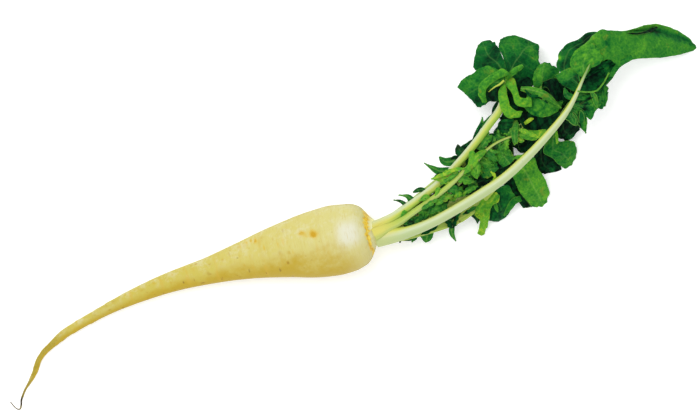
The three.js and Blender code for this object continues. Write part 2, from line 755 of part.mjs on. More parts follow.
function stalkSolid(leaf, grow) {
  const curve = curveThrough(leaf.stalk);
  const rings = Array.from({ length: STALK_STEPS + 1 }, (_, i) => {
    const { centre, face, lateral, half, deep } = stalkFrame(leaf, curve, i / STALK_STEPS);
    return Array.from({ length: STALK_SIDES }, (_, j) => {
      const turn = (2 * Math.PI * (j + 0.5)) / STALK_SIDES;
      const rise = Math.sin(turn) * deep;
      const flat = rise > CHANNEL * deep ? CHANNEL * deep : rise;
      return centre
        .clone()
        .addScaledVector(lateral, Math.cos(turn) * half + Math.sign(Math.cos(turn)) * grow)
        .addScaledVector(face, flat + Math.sign(flat) * grow);
    });
  });
  return solidOf(loft(rings));
}

// Where the green strip runs: just off the channelled face.
function wingAt(leaf, curve, share) {
  const { centre, face, lateral, deep } = stalkFrame(leaf, curve, share);
  return { point: centre.addScaledVector(face, CHANNEL * deep + GAP + BLADE / 2), face, lateral };
}

// A sheet through a grid of points, thickened along its normals and split alike on both faces. What it is thicker than a
// blade by, it is also wider by at its edges.
function thicken(sheet, thickness) {
  const wider = (thickness - BLADE) / 2;
  const moved = (point, inner) => point.clone().addScaledVector(point.clone().sub(inner).normalize(), wider);
  const spread = (line) => [moved(line[0], line[1]), ...line.slice(1, -1), moved(line.at(-1), line.at(-2))];
  const grid = sheet.map(spread);
  for (let j = 0; j < grid[0].length; j++) {
    spread(grid.map((line) => line[j])).forEach((point, i) => (grid[i][j] = point));
  }
  const rows = grid.length;
  const columns = grid[0].length;
  const normalAt = (i, j) => {
    const down = grid[Math.min(i + 1, rows - 1)][j].clone().sub(grid[Math.max(i - 1, 0)][j]);
    const over = grid[i][Math.min(j + 1, columns - 1)].clone().sub(grid[i][Math.max(j - 1, 0)]);
    return over.cross(down).normalize();
  };
  const points = [];
  for (const lift of [thickness / 2, -thickness / 2]) {
    for (let i = 0; i < rows; i++) {
      for (let j = 0; j < columns; j++) {
        points.push(grid[i][j].clone().addScaledVector(normalAt(i, j), lift));
      }
    }
  }
  const under = rows * columns;
  const faces = [];
  for (let i = 0; i + 1 < rows; i++) {
    for (let j = 0; j + 1 < columns; j++) {
      const a = i * columns + j;
      const [b, c, d] = [a + 1, a + columns, a + columns + 1];
      faces.push([a, b, d], [a, d, c]);
      faces.push([a + under, d + under, b + under], [a + under, c + under, d + under]);
    }
  }
  const edge = [];
  for (let j = 0; j + 1 < columns; j++) edge.push(j);
  for (let i = 0; i + 1 < rows; i++) edge.push(i * columns + columns - 1);
  for (let j = columns - 1; j > 0; j--) edge.push((rows - 1) * columns + j);
  for (let i = rows - 1; i > 0; i--) edge.push(i * columns);
  edge.forEach((a, k) => {
    const b = edge[(k + 1) % edge.length];
    faces.push([a, a + under, b + under], [a, b + under, b]);
  });
  return closedGeometry(points, faces);
}

// The sheet of a lobe given by rows of points, smooth both ways.
function gridOfRows(lobe, start) {
  const first = lobe.rows[0].map((p) => new THREE.Vector3(...p));
  const reach = first.at(-1).clone().sub(first[0]).normalize().multiplyScalar(lobe.base);
  const base = first.map((_, k) => start.clone().addScaledVector(reach, (2 * k) / (first.length - 1) - 1));
  const across = [base, ...lobe.rows].map(curveThrough);
  const [notches, depth] = lobe.teeth ?? [0, 0];
  const [height, waves] = lobe.ruffle ?? [0, 0];
  const steps = lobe.along ?? 6;
  const columns = lobe.across ?? 2;
  return Array.from({ length: steps + 1 }, (_, i) => {
    const share = i / steps;
    const cut = notches ? depth * (1 - Math.abs(Math.sin(Math.PI * notches * share))) : 0;
    return Array.from({ length: columns + 1 }, (_, j) => {
      const v = -1 + (2 * j) / columns;
      const place = (v * (1 - cut * v * v) + 1) / 2;
      const point = curveThrough(across.map((curve) => curve.getPoint(place))).getPoint(share);
      point.z += height * share * v * v * Math.sin(2 * Math.PI * waves * share + 2 * Math.sign(v));
      return point;
    });
  });
}

function outlineAt([base, widest, drawn], share) {
  if (share < widest) {
    return mix(base, 1, Math.sin((Math.PI / 2) * (share / widest)));
  }
  return Math.pow(Math.max(1 - Math.pow((share - widest) / (1 - widest), 2), 0), drawn);
}

// The sheet of a lobe given by its spine.
function gridOfSpine(lobe, start) {
  const curve = curveThrough([...start, ...lobe.spine]);
  const steps = lobe.along ?? 4;
  const columns = lobe.across ?? 2;
  const curl = lobe.curl ?? [0, 0];
  const [height, waves] = lobe.ruffle ?? [0, 0];
  return Array.from({ length: steps + 1 }, (_, i) => {
    const share = Math.sin(((Math.PI / 2) * i) / steps);
    const { centre, side, normal } = frameAt(curve, share);
    const width = outlineAt(lobe.outline, share);
    return Array.from({ length: columns + 1 }, (_, j) => {
      const v = -1 + (2 * j) / columns;
      const hand = v < 0 ? 0 : 1;
      const reach = Math.max(lobe.half[hand] * width, NARROWEST) * v;
      const turn = Math.max(Math.abs(degrees(curl[hand]) * v), 1e-6);
      const out = (reach * Math.sin(turn)) / turn;
      const rise = (Math.sign(curl[hand]) * Math.abs(reach) * (1 - Math.cos(turn))) / turn;
      const wave = height * share * v * v * Math.sin(2 * Math.PI * waves * share + 2 * hand);
      return centre.clone().addScaledVector(side, out).addScaledVector(normal, rise + wave);
    });
  });
}

// The small leaflets of a young leaf, each a little different.
function leafletLobes(leaf, curve) {
  const { from, to, count, length, half, lean, sink, rise, seed, sides } = leaf.leaflets;
  const random = randomFrom(seed);
  return Array.from({ length: count }, (_, k) => {
    const at = mix(from, to, (k + 0.6 * random()) / count);
    const { point } = wingAt(leaf, curve, at);
    const { tangent, side } = frameAt(curve, at);
    const hand = sides[k % sides.length];
    const turn = degrees(lean + 24 * (random() - 0.5));
    const reach = mix(length[0], length[1], random());
    const out = tangent.clone().multiplyScalar(Math.cos(turn)).addScaledVector(side, hand * Math.sin(turn));
    const knee = point.clone().addScaledVector(out, reach / 2).addScaledVector(UP, rise * (random() - 0.5));
    const tip = point.clone().addScaledVector(out, reach).addScaledVector(UP, -mix(sink[0], sink[1], random()));
    return { at, spine: [knee, tip], half: [half, half], outline: LEAFLET, ruffle: [1.6, 2], along: 5 };
  });
}

function bladeSolid(leaf, thickness) {
  const curve = curveThrough(leaf.stalk);
  const lobes = [...leaf.lobes, ...(leaf.leaflets ? leafletLobes(leaf, curve) : [])];
  const first = Math.min(...lobes.map((lobe) => lobe.at)) - 0.01;
  const strip = Array.from({ length: STALK_STEPS + 1 }, (_, i) => {
    const { point, lateral } = wingAt(leaf, curve, mix(first, 1, i / STALK_STEPS));
    return [-1, 1].map((v) => point.clone().addScaledVector(lateral, -v * WING));
  });
  let solid = solidOf(thicken(strip, thickness));
  for (const lobe of lobes) {
    const { point } = wingAt(leaf, curve, lobe.at);
    const start = [point];
    if (lobe.under) {
      const { centre, deep } = stalkFrame(leaf, curve, lobe.at);
      start.push(centre.addScaledVector(UP, -(deep + GAP + BLADE)));
    }
    const grid = lobe.rows ? gridOfRows(lobe, point) : gridOfSpine(lobe, start);
    solid = solid.add(solidOf(thicken(grid, thickness)));
  }
  return solid;
}

const radish = new THREE.Group();
radish.add(meshOf("root", rootSolid(0), ROOT_COLOUR));
let room = rootSolid(GAP);
for (const [name, leaf] of Object.entries(LEAVES)) {
  const stalk = largest(stalkSolid(leaf, 0).subtract(room));
  room = room.add(stalkSolid(leaf, GAP));
  radish.add(meshOf(name + "_leaf_stalk", stalk, STALK_COLOUR));
}
for (const [name, leaf] of Object.entries(LEAVES)) {
  const blade = largest(bladeSolid(leaf, BLADE).subtract(room));
  room = room.add(bladeSolid(leaf, BLADE + 2 * GAP));
  radish.add(meshOf(name + "_leaf_blade", blade, leaf.young ? YOUNG_COLOUR : BLADE_COLOUR));
}

export default radish;
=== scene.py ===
# The kameido daikon radish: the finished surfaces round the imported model. The tables repeat the part's
# own measures, in millimetres, and every piece is made from them with a finer mesh. Blender works in
# metres, so meshes are scaled by MM.
import math

import bpy
import mathutils
import numpy as np
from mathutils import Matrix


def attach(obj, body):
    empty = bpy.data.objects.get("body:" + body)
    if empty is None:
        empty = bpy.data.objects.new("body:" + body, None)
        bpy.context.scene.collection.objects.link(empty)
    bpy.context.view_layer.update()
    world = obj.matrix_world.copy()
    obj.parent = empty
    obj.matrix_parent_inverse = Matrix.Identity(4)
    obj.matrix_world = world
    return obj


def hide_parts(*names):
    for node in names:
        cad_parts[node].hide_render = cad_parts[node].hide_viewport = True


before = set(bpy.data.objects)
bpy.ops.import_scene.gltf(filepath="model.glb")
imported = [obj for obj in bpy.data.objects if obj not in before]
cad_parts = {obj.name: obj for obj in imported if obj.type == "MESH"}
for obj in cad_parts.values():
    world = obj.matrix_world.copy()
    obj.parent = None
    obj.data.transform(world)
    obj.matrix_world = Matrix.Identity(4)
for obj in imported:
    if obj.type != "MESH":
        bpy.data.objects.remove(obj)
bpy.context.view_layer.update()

MM = 0.001
UP = np.array([0.0, 0.0, 1.0])

# Camera: straight above, as the photograph looks down on the radish, turned as the radish lies there.
CAMERA_AT = (0.0334, 0.0091, 2.825)
CAMERA_TURN = -28.07  # degrees
CAMERA_LENS = 200
SENSOR = 36

# Sizes shared with the part.
GAP = 0.35  # between a stalk and the green strip along it
BLADE = 0.8  # thickness of the part's blades
WING = 1  # half width of the green strip
NARROWEST = 0.5  # least half width of a lobe
CHANNEL = 0.45  # height of the channelled side, as a share of the stalk's half depth
LEAFLET = (0.4, 0.5, 0.8)  # outline of a young leaf's leaflets
SCAR_RING = 33  # the root section with the ring of leaf scars
SCAR_HEIGHT = 0.7
SCARS = 7

# Meshes finer than the part's, and relief that the part doesn't have.
BLADE_SHOWN = 0.5  # thickness of a leaf blade
VEIN_HEIGHT = 0.28  # relief of the ribs
BLISTER = 0.32  # lift of a blade between its veins
SWELL = 0.09  # broad waves of a lobe, for each millimetre of its reach
FRILL = 0.075  # waves of its edge, likewise
CREASES = 5  # directions in which a lobe is creased
STALK_RIBS = 0.012  # relief of a stalk's long ribs, lumps and groove, as shares of its half width
STALK_LUMPS = 0.02
STALK_GROOVE = 0.16
TWIG_RADIUS = 0.85
TWIG_SIDES = 10
TWIG_RINGS = 17
ROOT_LUMPS = 0.012  # as a share of the root's radius
RAGGED = 0.6  # relief of the torn edge of the corky ring
NECK_RIBS = 0.35
CELL = 0.85  # size of the quads of a blade
YOUNG_CELL = 0.5
STALK_SIDES = 40
STALK_STEPS = 150
ROOT_SIDES = 120
ROOT_STEP = 0.9

# The root: centre x, y, z and radius of each section, from the hair at the tip to the neck in the leaves.
ROOT = [(-249.8, 2.1, 0.9, 0.35), (-248.4, -3.6, 0.9, 0.35), (-246.3, -5.7, 0.9, 0.45),
    (-244.1, -3.8, 1, 0.6), (-241.6, 0.2, 1.1, 0.65), (-236.3, 4.8, 1.2, 0.75), (-231.2, 7.9, 1.5, 1.1),
    (-226.2, 11, 1.9, 1.6), (-221.7, 14.8, 2.2, 1.9), (-217, 19.3, 2.4, 2), (-211.5, 22.2, 2.4, 2.1),
    (-205, 24.2, 2.7, 2.4), (-192, 27.3, 3.9, 3.2), (-175, 28.2, 5.6, 3.5), (-158, 28.4, 7.4, 4),
    (-142, 28, 9.1, 5), (-126, 26.7, 10.8, 6.1), (-110, 24.8, 12.5, 7.1), (-94.1, 22, 14.2, 8.2),
    (-78.1, 18.6, 15.9, 9.7), (-62, 15.4, 17.6, 12), (-46.9, 12.1, 19.2, 14.7), (-32.8, 8.7, 20.7, 17.7),
    (-19.8, 5.1, 22, 20.4), (-7.9, 1.5, 22.4, 23), (3, -1.9, 23.8, 24.6), (12.9, -4.8, 24.7, 25.4),
    (20.9, -7.2, 26, 24.8), (26.6, -8.7, 26.9, 23.9), (31.19, -10.1, 27.7, 22.4),
    (33.77, -10.89, 28.15, 20.7), (35.68, -11.48, 28.5, 18.8), (37.31, -11.97, 28.75, 16.3),
    (38.27, -12.27, 28.9, 14.1), (40.47, -12.94, 29.3, 11.1), (42, -13.5, 29.5, 9.2), (45, -14.5, 29.8, 7),
    (48.5, -15.6, 30.1, 4.6), (51, -16.4, 30.3, 1.6)]


def sheet(at, tone, base, rows, **more):
    """A lobe given by rows of points across it, from its foot to its end."""
    return {"at": at, "tone": tone, "base": base, "rows": rows, **more}


def tongue(at, tone, half, outline, spine, **more):
    """A lobe given by its spine. half is its half width, or that of its two sides."""
    sides = half if isinstance(half, tuple) else (half, half)
    return {"at": at, "tone": tone, "half": sides, "outline": outline, "spine": spine, **more}


def loose(at, tone, half, outline, points, **more):
    """A tongue that begins at the first of its points and not on the green strip."""
    return tongue(at, tone, half, outline, points[1:], start=points[0], **more)


def sprig(at, tone, half, points):
    """A small notched leaflet in the crowd round the young leaves."""
    return loose(at, tone, half, (0.5, 0.5, 0.7), points, teeth=(4, 0.2), ribs=0.4, creases=1)


def painted_shade_sheet(at, base, rows):
    """A dark lobe, painted shade: it shows as the deep shade between the others."""
    return sheet(at, 0.08, base, rows, ribs=0)


# The lobes of each leaf: those of the part, and more small ones where the leaves are crowded. at is the
# share of the stalk where a lobe leaves it, and tone is its green, from 0 darkest to 1 yellowest; the
# lowest tones, about 0.15 and below, are painted shade on lobes that lie under others. Points are x, y and
# z.
# shade is a change of tone across and along a lobe: painted light and shade of its folds. The patches are
# x, y, radius and change of tone of lighter and darker places, partly the leaf's own colour and partly
# painted light and shade.
FRONT_LOBES = [
    sheet(0.93, 0.56, 2, [
        [(220.5, 25.5, 52), (221.3, 25, 52.5), (222.8, 23.5, 53), (229, 16.8, 53)],
        [(227, 32.3, 51), (227.8, 31.3, 52), (229, 30, 53), (238, 17.5, 52)],
        [(240, 35.2, 49.5), (240.3, 34.4, 50.5), (241, 33, 52), (247, 16.5, 49)],
        [(250.7, 36.2, 47), (250.7, 35.7, 47.5), (251, 35.4, 49.5), (252, 8.5, 44)],
        [(260.4, 32.6, 42), (260.3, 32, 42), (260.5, 31, 44), (259, 9.5, 40)],
        [(272.3, 29.3, 36), (271.8, 27.4, 34.5), (271, 25.5, 37), (268.3, 6.8, 34)],
        [(283.4, 26.6, 28.5), (281.8, 22.8, 25.5), (280.5, 19.5, 30), (276.8, 2.9, 27)],
        [(293.1, 22.8, 17.5), (291.5, 18, 15), (289.5, 12.5, 20.5), (286.5, -1.2, 18.5)],
        [(302.2, 13.9, 8), (300.8, 9.3, 9), (298.7, 4.5, 12.5), (296.5, -4, 11)],
        [(308.5, 4.2, 2.5), (307.5, 2.2, 3.5), (305.3, -0.5, 4.8), (303, -5.4, 4.2)],
        [(310.3, -3.6, 0.8), (310.3, -4.4, 0.8), (309.9, -5.3, 0.8), (307.9, -6.1, 0.8)],
    ], shade=[(0.1, 0, -0.3, -0.28, -0.02, 0, -0.03), (0, 0, 0, 0.4, 1, 1, 0.9)], ribs=0.3, creases=0.15,
        patches=[(247, 33.5, 5.8, 0.12), (232.5, 28, 6.5, 0.12), (251.5, 27, 3.6, -0.3),
        (253, 13.5, 4.3, -0.05), (276, 14, 4.3, 0.1), (288, 18, 2.9, -0.2), (268, 11.5, 4.3, 0.08),
        (303, 0, 3.6, 0.14), (287, 3, 5.8, -0.1), (263, 21.5, 4.3, -0.08), (242, 22, 2.9, -0.12)]),
    sheet(0.89, 0.24, 1.5, [
        [(211.8, 26.8, 44), (216, 24.2, 46.5), (221, 21, 49)],
        [(215.3, 34.5, 41), (219.6, 31, 44), (226, 26, 47)],
        [(221.9, 39.9, 37), (227.1, 36, 41), (232, 30, 45.5)],
        [(234.4, 40.2, 37.5), (236.2, 36.4, 41), (239, 31, 45)],
        [(244, 40.9, 39.5), (245.3, 38, 42.5), (247, 33, 44.5)],
        [(251.2, 37, 42), (251.8, 35.5, 43), (252, 34, 43.5)],
    ], teeth=(6, 0.12), shade=[(0.1, 0.02, 0, 0, 0), (1, 1)], ribs=0.6, creases=0.3,
        patches=[(217, 34.5, 2.2, 0.6), (240.5, 38, 4.3, -0.2), (219, 30, 4.3, -0.08),
        (231.5, 37, 3.6, -0.08), (225, 36.5, 3.6, 0.06)]),
    sheet(0.9, 0.5, 2, [
        [(224, 23.5, 51.5), (220, 17.5, 52.5), (220, 8.5, 51.5)],
        [(215, 25.5, 49.5), (213.5, 18, 50.5), (214.5, 8.2, 49)],
        [(210, 25.2, 47.5), (209, 20.5, 48.5), (209.5, 16, 47.5)],
        [(208, 24.6, 46), (207.8, 22, 46.5), (208.4, 19.6, 46)],
    ], teeth=(3, 0.1), ribs=0.4, edge=0.5, creases=0.3, patches=[(214.5, 21.5, 3.6, 0.14),
        (228, 21, 4.3, 0.14), (217, 14.5, 5, -0.22), (211, 15.5, 3.6, -0.2), (220.5, 17.5, 2.2, -0.3)]),
    sheet(0.87, 0.2, 2, [
        [(230, 17.5, 50.5), (228.5, 9, 45), (227.5, 1, 47)],
        [(240, 18, 48), (239, 9.5, 41), (238.3, 1.3, 44.5)],
        [(249, 17, 45), (248.5, 11, 40), (247.8, 6.3, 42)],
        [(254, 14, 42), (253.5, 11, 40.5), (252.5, 8.6, 41)],
    ], teeth=(4, 0.08), rim=2, ribs=0, patches=[(231.5, 13.5, 5.8, -0.2), (243, 11, 3.6, 0.08),
        (230, 3, 4.3, 0.05)]),
    sheet(0.8, 0.44, 2, [
        [(219, 3, 49), (216, -4, 47), (211.5, -6.5, 48.5)],
        [(228.8, -0.6, 44.5), (223, -6.5, 42.5), (215, -14.7, 45)],
        [(230.2, -4.6, 41), (226.3, -9.1, 39), (218.6, -11, 41.5)],
    ], ruffle=(0.5, 2), rim=1.5, ribs=0.4, creases=1.1, patches=[(218.5, 5, 3.6, 0.05), (222, -5, 3.6, 0.1),
        (210.5, 2.5, 2.9, -0.2), (216, -5.5, 3.6, -0.35), (229, 0.5, 2.9, -0.16)]),
    sheet(0.84, 0.42, 2, [
        [(229, 7, 42), (226, 1, 42), (222, -4, 43)],
        [(237.6, 1.3, 37.5), (233, -2.5, 37), (225.3, -11.6, 38)],
        [(236.2, -3.1, 35.5), (233.4, -7.7, 35), (229.4, -11.4, 35.5)],
    ], rim=1.5, ribs=0.4, creases=1.1, patches=[(233, -0.5, 3.6, -0.08), (232.5, -7.5, 2.2, 0.08),
        (226.5, -11, 2.9, -0.1)]),
    tongue(0.75, 0.38, 4.4, (0.6, 0.4, 0.7), [(204, -7, 49.5), (205, -13.8, 43)], curl=(45, 45), rim=1.3,
        ribs=0.3, edge=1, creases=1.1, patches=[(201.5, -6, 2.9, -0.1)]),
    tongue(0.78, 0.4, (4.6, 5.8), (0.5, 0.35, 1), [(210, -7, 47), (210, -14, 40), (208.8, -21.8, 34)],
        curl=(45, 45), rim=1.5, ribs=0.3, edge=0.6, creases=1.1,
        patches=[(212.5, -14, 2.9, 0.3), (205.5, -14.5, 3.6, -0.2)]),
    sheet(0.93, 0.08, 0.2, [
        [(273, 25.5, 37.3), (273, 24.5, 37), (273.5, 23.5, 36.6)],
        [(278, 23.5, 33.9), (278, 22.5, 33.7), (278.5, 21.5, 33.4)],
        [(283.5, 22.5, 26.5), (283.5, 21.5, 28.2), (284.5, 20, 27.5)],
        [(290.5, 22, 20.8), (291, 21, 19.7), (291.5, 20.5, 18.3)],
    ], ribs=0, start=(268, 27.5, 40.5)),
    loose(0.9, 0.6, 0.45, (0.6, 0.5, 0.6), [(216, 7.5, 60.3), (222.5, 3.5, 52.4), (229, 1.5, 47.9),
        (236, 4, 45.2), (243, 8.5, 43.5)], ribs=0, edge=1),
    loose(0.84, 0.08, 0.9, (0.5, 0.4, 0.8), [(228, 0.5, 45.9), (223, -1, 47.1), (213.5, -1.5, 51.6)],
        ribs=0),
    loose(0.84, 0.5, (2, 2.4), (0.4, 0.6, 0.8), [(225, 2.5, 49.9), (225.5, -2, 46.3), (224, -9.5, 41.8)],
        ribs=0.4, edge=1),
    loose(0.8, 0.3, 3.2, (0.6, 0.5, 0.6), [(204, -4, 57.4), (203.5, -5.5, 53.6), (204, -12.5, 46.4)],
        ribs=0.5, edge=1, rim=1.3),
    loose(0.8, 0.3, 2.2, (0.8, 0.4, 0.7), [(209, -13.5, 42.4), (211, -9.5, 47), (212, -5.5, 50.6)], ribs=0,
        edge=1, rim=1.3),
    sheet(0.94, 0.55, 2, [
        [(221, 23.5, 53.5), (228, 21, 54.5), (233, 17, 53.5)],
        [(223, 30, 53.5), (232.5, 26.5, 55), (242.5, 17.5, 53.5)],
        [(228.5, 33, 53.5), (238, 29, 54.5), (244, 23.5, 53.5)],
        [(235.5, 34, 53.5), (241.5, 32.5, 54), (244, 29.5, 53.5)],
    ], ribs=0.4, creases=0.7, teeth=(4, 0.12), rim=1.5),
    sheet(0.92, 0.12, 1, [
        [(234.5, 18, 41), (240, 16.5, 41), (245, 13, 41)],
        [(238.5, 22.5, 41), (244.5, 21.5, 41), (250, 17, 41)],
    ], ribs=0),
    loose(0.9, 0.45, (2.4, 1.6), (0.9, 0.4, 0.7), [(263, 11, 44), (252, 10.5, 43), (244, 6.5, 42.5),
        (236.5, 1.5, 42)], ribs=0, rim=1.4),
    painted_shade_sheet(0.9, 2, [
        [(220.5, 22, 43), (226, 17.5, 43), (231, 11.5, 43)],
        [(214, 14.5, 42), (219.5, 8.5, 42), (226.5, 3.5, 42)],
        [(211.5, 5, 42), (215.5, 1, 42), (221.5, -0.5, 42)],
    ]),
    painted_shade_sheet(0.78, 1.5, [
        [(211, -0.5, 42), (209, -2, 42), (206.5, -4, 42)],
        [(220, -6, 38), (217.5, -8, 38), (213, -9, 38)],
    ]),
    tongue(0.47, 0.95, 1.8, (0.8, 0.4, 0.8), [(136, -18.5, 48), (135, -14, 47)], ribs=0, teeth=(3, 0.3)),
    tongue(0.585, 0.75, 2, (0.8, 0.4, 0.8), [(158.5, -14.5, 47), (153.5, -13.5, 45)], ribs=0,
        teeth=(3, 0.2)),
    tongue(0.83, 0.42, (2.2, 2.6), (0.8, 0.4, 0.8), [(208.5, 8.5, 50), (209.5, 14, 47)], ribs=0.5),
]
UPPER_LOBES = [
    sheet(0.97, 0.22, 2, [
        [(169, 48, 35), (176.5, 51, 35.5), (181.5, 52, 34)],
        [(159.6, 55.8, 30), (173.5, 59.5, 31.5), (182.6, 60.8, 29.5)],
        [(164.7, 64.3, 25), (174, 66.5, 26), (182.5, 65.5, 24.5)],
        [(170.4, 69.9, 20.5), (174.7, 70.9, 20.5), (179.6, 69.3, 20)],
    ], teeth=(3, 0.07), ribs=0.7, creases=0.12, patches=[(172, 68.5, 5.8, 0.12), (175, 58, 5.8, -0.09),
        (180.5, 61, 2.9, -0.1), (177.5, 69.5, 2.9, 0.06)]),
    sheet(0.97, 0.27, 2, [
        [(181, 52, 32.5), (186, 46, 34), (183, 32, 33)],
        [(182.6, 62.8, 28.5), (192, 49, 30.5), (190, 25.5, 29)],
        [(186.6, 66.9, 22.5), (198.5, 52, 25), (200, 29, 27)],
        [(196.9, 65.1, 19.5), (203.5, 52, 21), (203.9, 39.4, 23.5)],
        [(205.3, 54.6, 16.5), (209.1, 50.1, 17.5), (207, 45.6, 20.5)],
    ], teeth=(4, 0.07), ribs=0.8, creases=0.12, patches=[(192.5, 60.5, 7.2, 0.2), (202, 50, 3.6, 0.3),
        (203, 42.5, 2.9, 0.36), (185.5, 61.5, 3.6, 0.08), (182, 43.5, 7.2, -0.1), (191, 32.5, 7.2, -0.05),
        (192, 46.5, 4.3, -0.06), (196.5, 39.5, 3.6, 0.06)]),
    sheet(0.94, 0.48, 2.5, [
        [(174, 48, 41.5), (168, 41, 42), (164.2, 29.6, 35.5)],
        [(170, 54, 40), (161, 42.5, 39.5), (156.4, 30, 33.5)],
        [(160, 55.3, 36), (154, 43, 35.5), (153.5, 29.5, 31)],
        [(149.5, 54.3, 31), (149.5, 43, 31), (151.2, 29.7, 28.5)],
        [(142.6, 51.5, 27), (146, 42.8, 27.5), (149.6, 30.2, 27)],
    ], teeth=(3, 0.06), ribs=0.5, creases=0.25, patches=[(151.5, 35, 5.8, -0.36), (162.5, 32.5, 4.3, -0.3),
        (168, 51, 5.8, 0.08), (147, 49.5, 4.3, -0.05), (149, 42.5, 4.3, -0.1)]),
    sheet(0.97, 0.66, 1.5, [
        [(180.3, 40.6, 43.5), (178.4, 43.9, 45), (177.1, 46.9, 44)],
        [(168.8, 41.8, 43.8), (168.5, 44.5, 45.3), (168.3, 47, 44.5)],
        [(161, 40, 43), (160, 42.8, 44), (158.4, 45.4, 43)],
        [(157.6, 35.8, 40), (155.5, 37.3, 41.3), (153.8, 39.4, 40)],
        [(156.8, 31.5, 36.5), (155.3, 31.3, 38), (154, 32.6, 36.5)],
    ], ribs=0),
    sheet(0.99, 0.62, 1.5, [
        [(183, 39, 43.5), (183.5, 41.5, 45.5), (183.5, 43.6, 43.5)],
        [(191, 40.5, 40.5), (191.3, 42.2, 41.5), (190.8, 43.5, 40)],
    ], ribs=0),
    sheet(0.96, 0.8, 1.5, [
        [(167.2, 34.2, 44), (170.2, 34.6, 45), (172.9, 33.6, 44)],
        [(163.6, 27.2, 45), (167.3, 26.9, 46.5), (171.1, 27, 45)],
        [(162.4, 20.7, 44), (166.3, 20.9, 46), (169.9, 21.2, 44.5)],
        [(164, 14, 43.5), (168, 15, 44.5), (171.5, 16.3, 43.5)],
        [(171.7, 10.5, 40.5), (173.8, 11.8, 41), (175.9, 13.4, 41)],
    ], ribs=0, jag=2.2, patches=[(181.5, 16, 2.9, 0.1), (178, 34, 2.9, -0.08), (178, 22, 2.2, -0.1)]),
    sheet(0.98, 0.78, 1.5, [
        [(174, 35, 43), (177.5, 36, 44), (181.5, 36.5, 42.5)],
        [(174.7, 27.5, 44.5), (177, 28, 45.3), (179.6, 28.5, 44.3)],
        [(173.3, 20.3, 44), (176.5, 21.3, 45), (179, 23, 44)],
        [(177, 15.8, 43), (180, 17.5, 43.7), (183, 20.5, 43)],
        [(183, 12.8, 41), (185, 17, 41.5), (186.3, 21.6, 41.5)],
    ], ribs=0, jag=1.8, patches=[(169.5, 33.5, 2.9, 0.1), (165.5, 21.5, 3.6, -0.12), (172, 14, 2.9, 0.06)]),
    tongue(0.235, 0.14, 1.7, (0.8, 0.3, 1), [(68.4, -2.5, 30.5), (64.4, 0.6, 30)], under=True),
    tongue(0.255, 0.4, 3, (0.9, 0.3, 1.5), [(74.7, -2, 31), (69.2, 2.2, 30.5)], under=True),
    tongue(0.31, 0.18, 1.9, (0.6, 0.6, 0.5), [(85.3, -1.9, 31), (79.3, -1, 30.5)], under=True),
    tongue(0.41, 0.36, (3.4, 3), (0.8, 0.3, 1.1), [(103.3, 3.6, 31.5), (99.7, 8.3, 31.5), (96.3, 13.8, 31)],
        under=True),
    tongue(0.46, 0.34, 3.8, (0.8, 0.3, 0.6), [(110.8, 6.9, 32.5), (107.9, 12.5, 31)], under=True),
    tongue(0.54, 0.14, (5.4, 4.4), (0.8, 0.4, 0.8), [(123.7, 8.6, 33.5), (123.5, 14.3, 33)], under=True),
    tongue(0.68, 0.45, 3.4, (0.8, 0.3, 1), [(146, 17.4, 35), (148.5, 23.3, 35)], under=True),
    tongue(0.61, 0.5, 3.6, (0.5, 0.5, 0.9), [(136.5, 5, 36), (143, 7.5, 35.5)]),
    loose(0.9, 0.22, 1.3, (0.3, 0.5, 0.8), [(184.5, 27.5, 36.1), (186, 20.5, 42.7), (191.5, 16.5, 38),
        (194.5, 10, 37.4)], ribs=0),
    painted_shade_sheet(0.85, 3, [
        [(167.5, 36.5, 35), (176.5, 37, 36), (190.5, 33.5, 35)],
        [(164.5, 28, 35), (172, 25.5, 36), (190, 23.5, 35)],
        [(163.5, 20, 34), (170.5, 17.5, 34), (181.5, 17, 33)],
        [(158.5, 16, 33), (162.5, 13.5, 33), (170.5, 14, 33)],
    ]),
    painted_shade_sheet(0.9, 2, [
        [(168.5, 37, 41.5), (166.5, 33, 42), (163.5, 28, 41)],
        [(162, 38.5, 41.5), (159, 34.5, 41), (158.5, 30.5, 39)],
        [(158.5, 36.5, 40.5), (157, 34, 39), (156, 31, 37)],
    ]),
    tongue(0.87, 0.1, 2.2, (0.9, 0.4, 0.6), [(161.5, 25.5, 34.5), (156, 22, 33)], ribs=0),
    loose(0.66, 0.22, 1.4, (0.8, 0.4, 0.8), [(146.5, 20, 36), (140.5, 16, 35), (134.5, 12, 35)], ribs=0),
    loose(0.5, 0.1, 1.6, (0.9, 0.4, 0.6), [(119.5, 5.5, 33), (117.5, 7, 33), (114, 7, 33)], ribs=0),
    loose(0.4, 0.06, (2, 1.6), (0.9, 0.5, 0.6), [(103, -0.5, 32), (101, 1, 32), (98, 1.5, 32)], ribs=0),
]
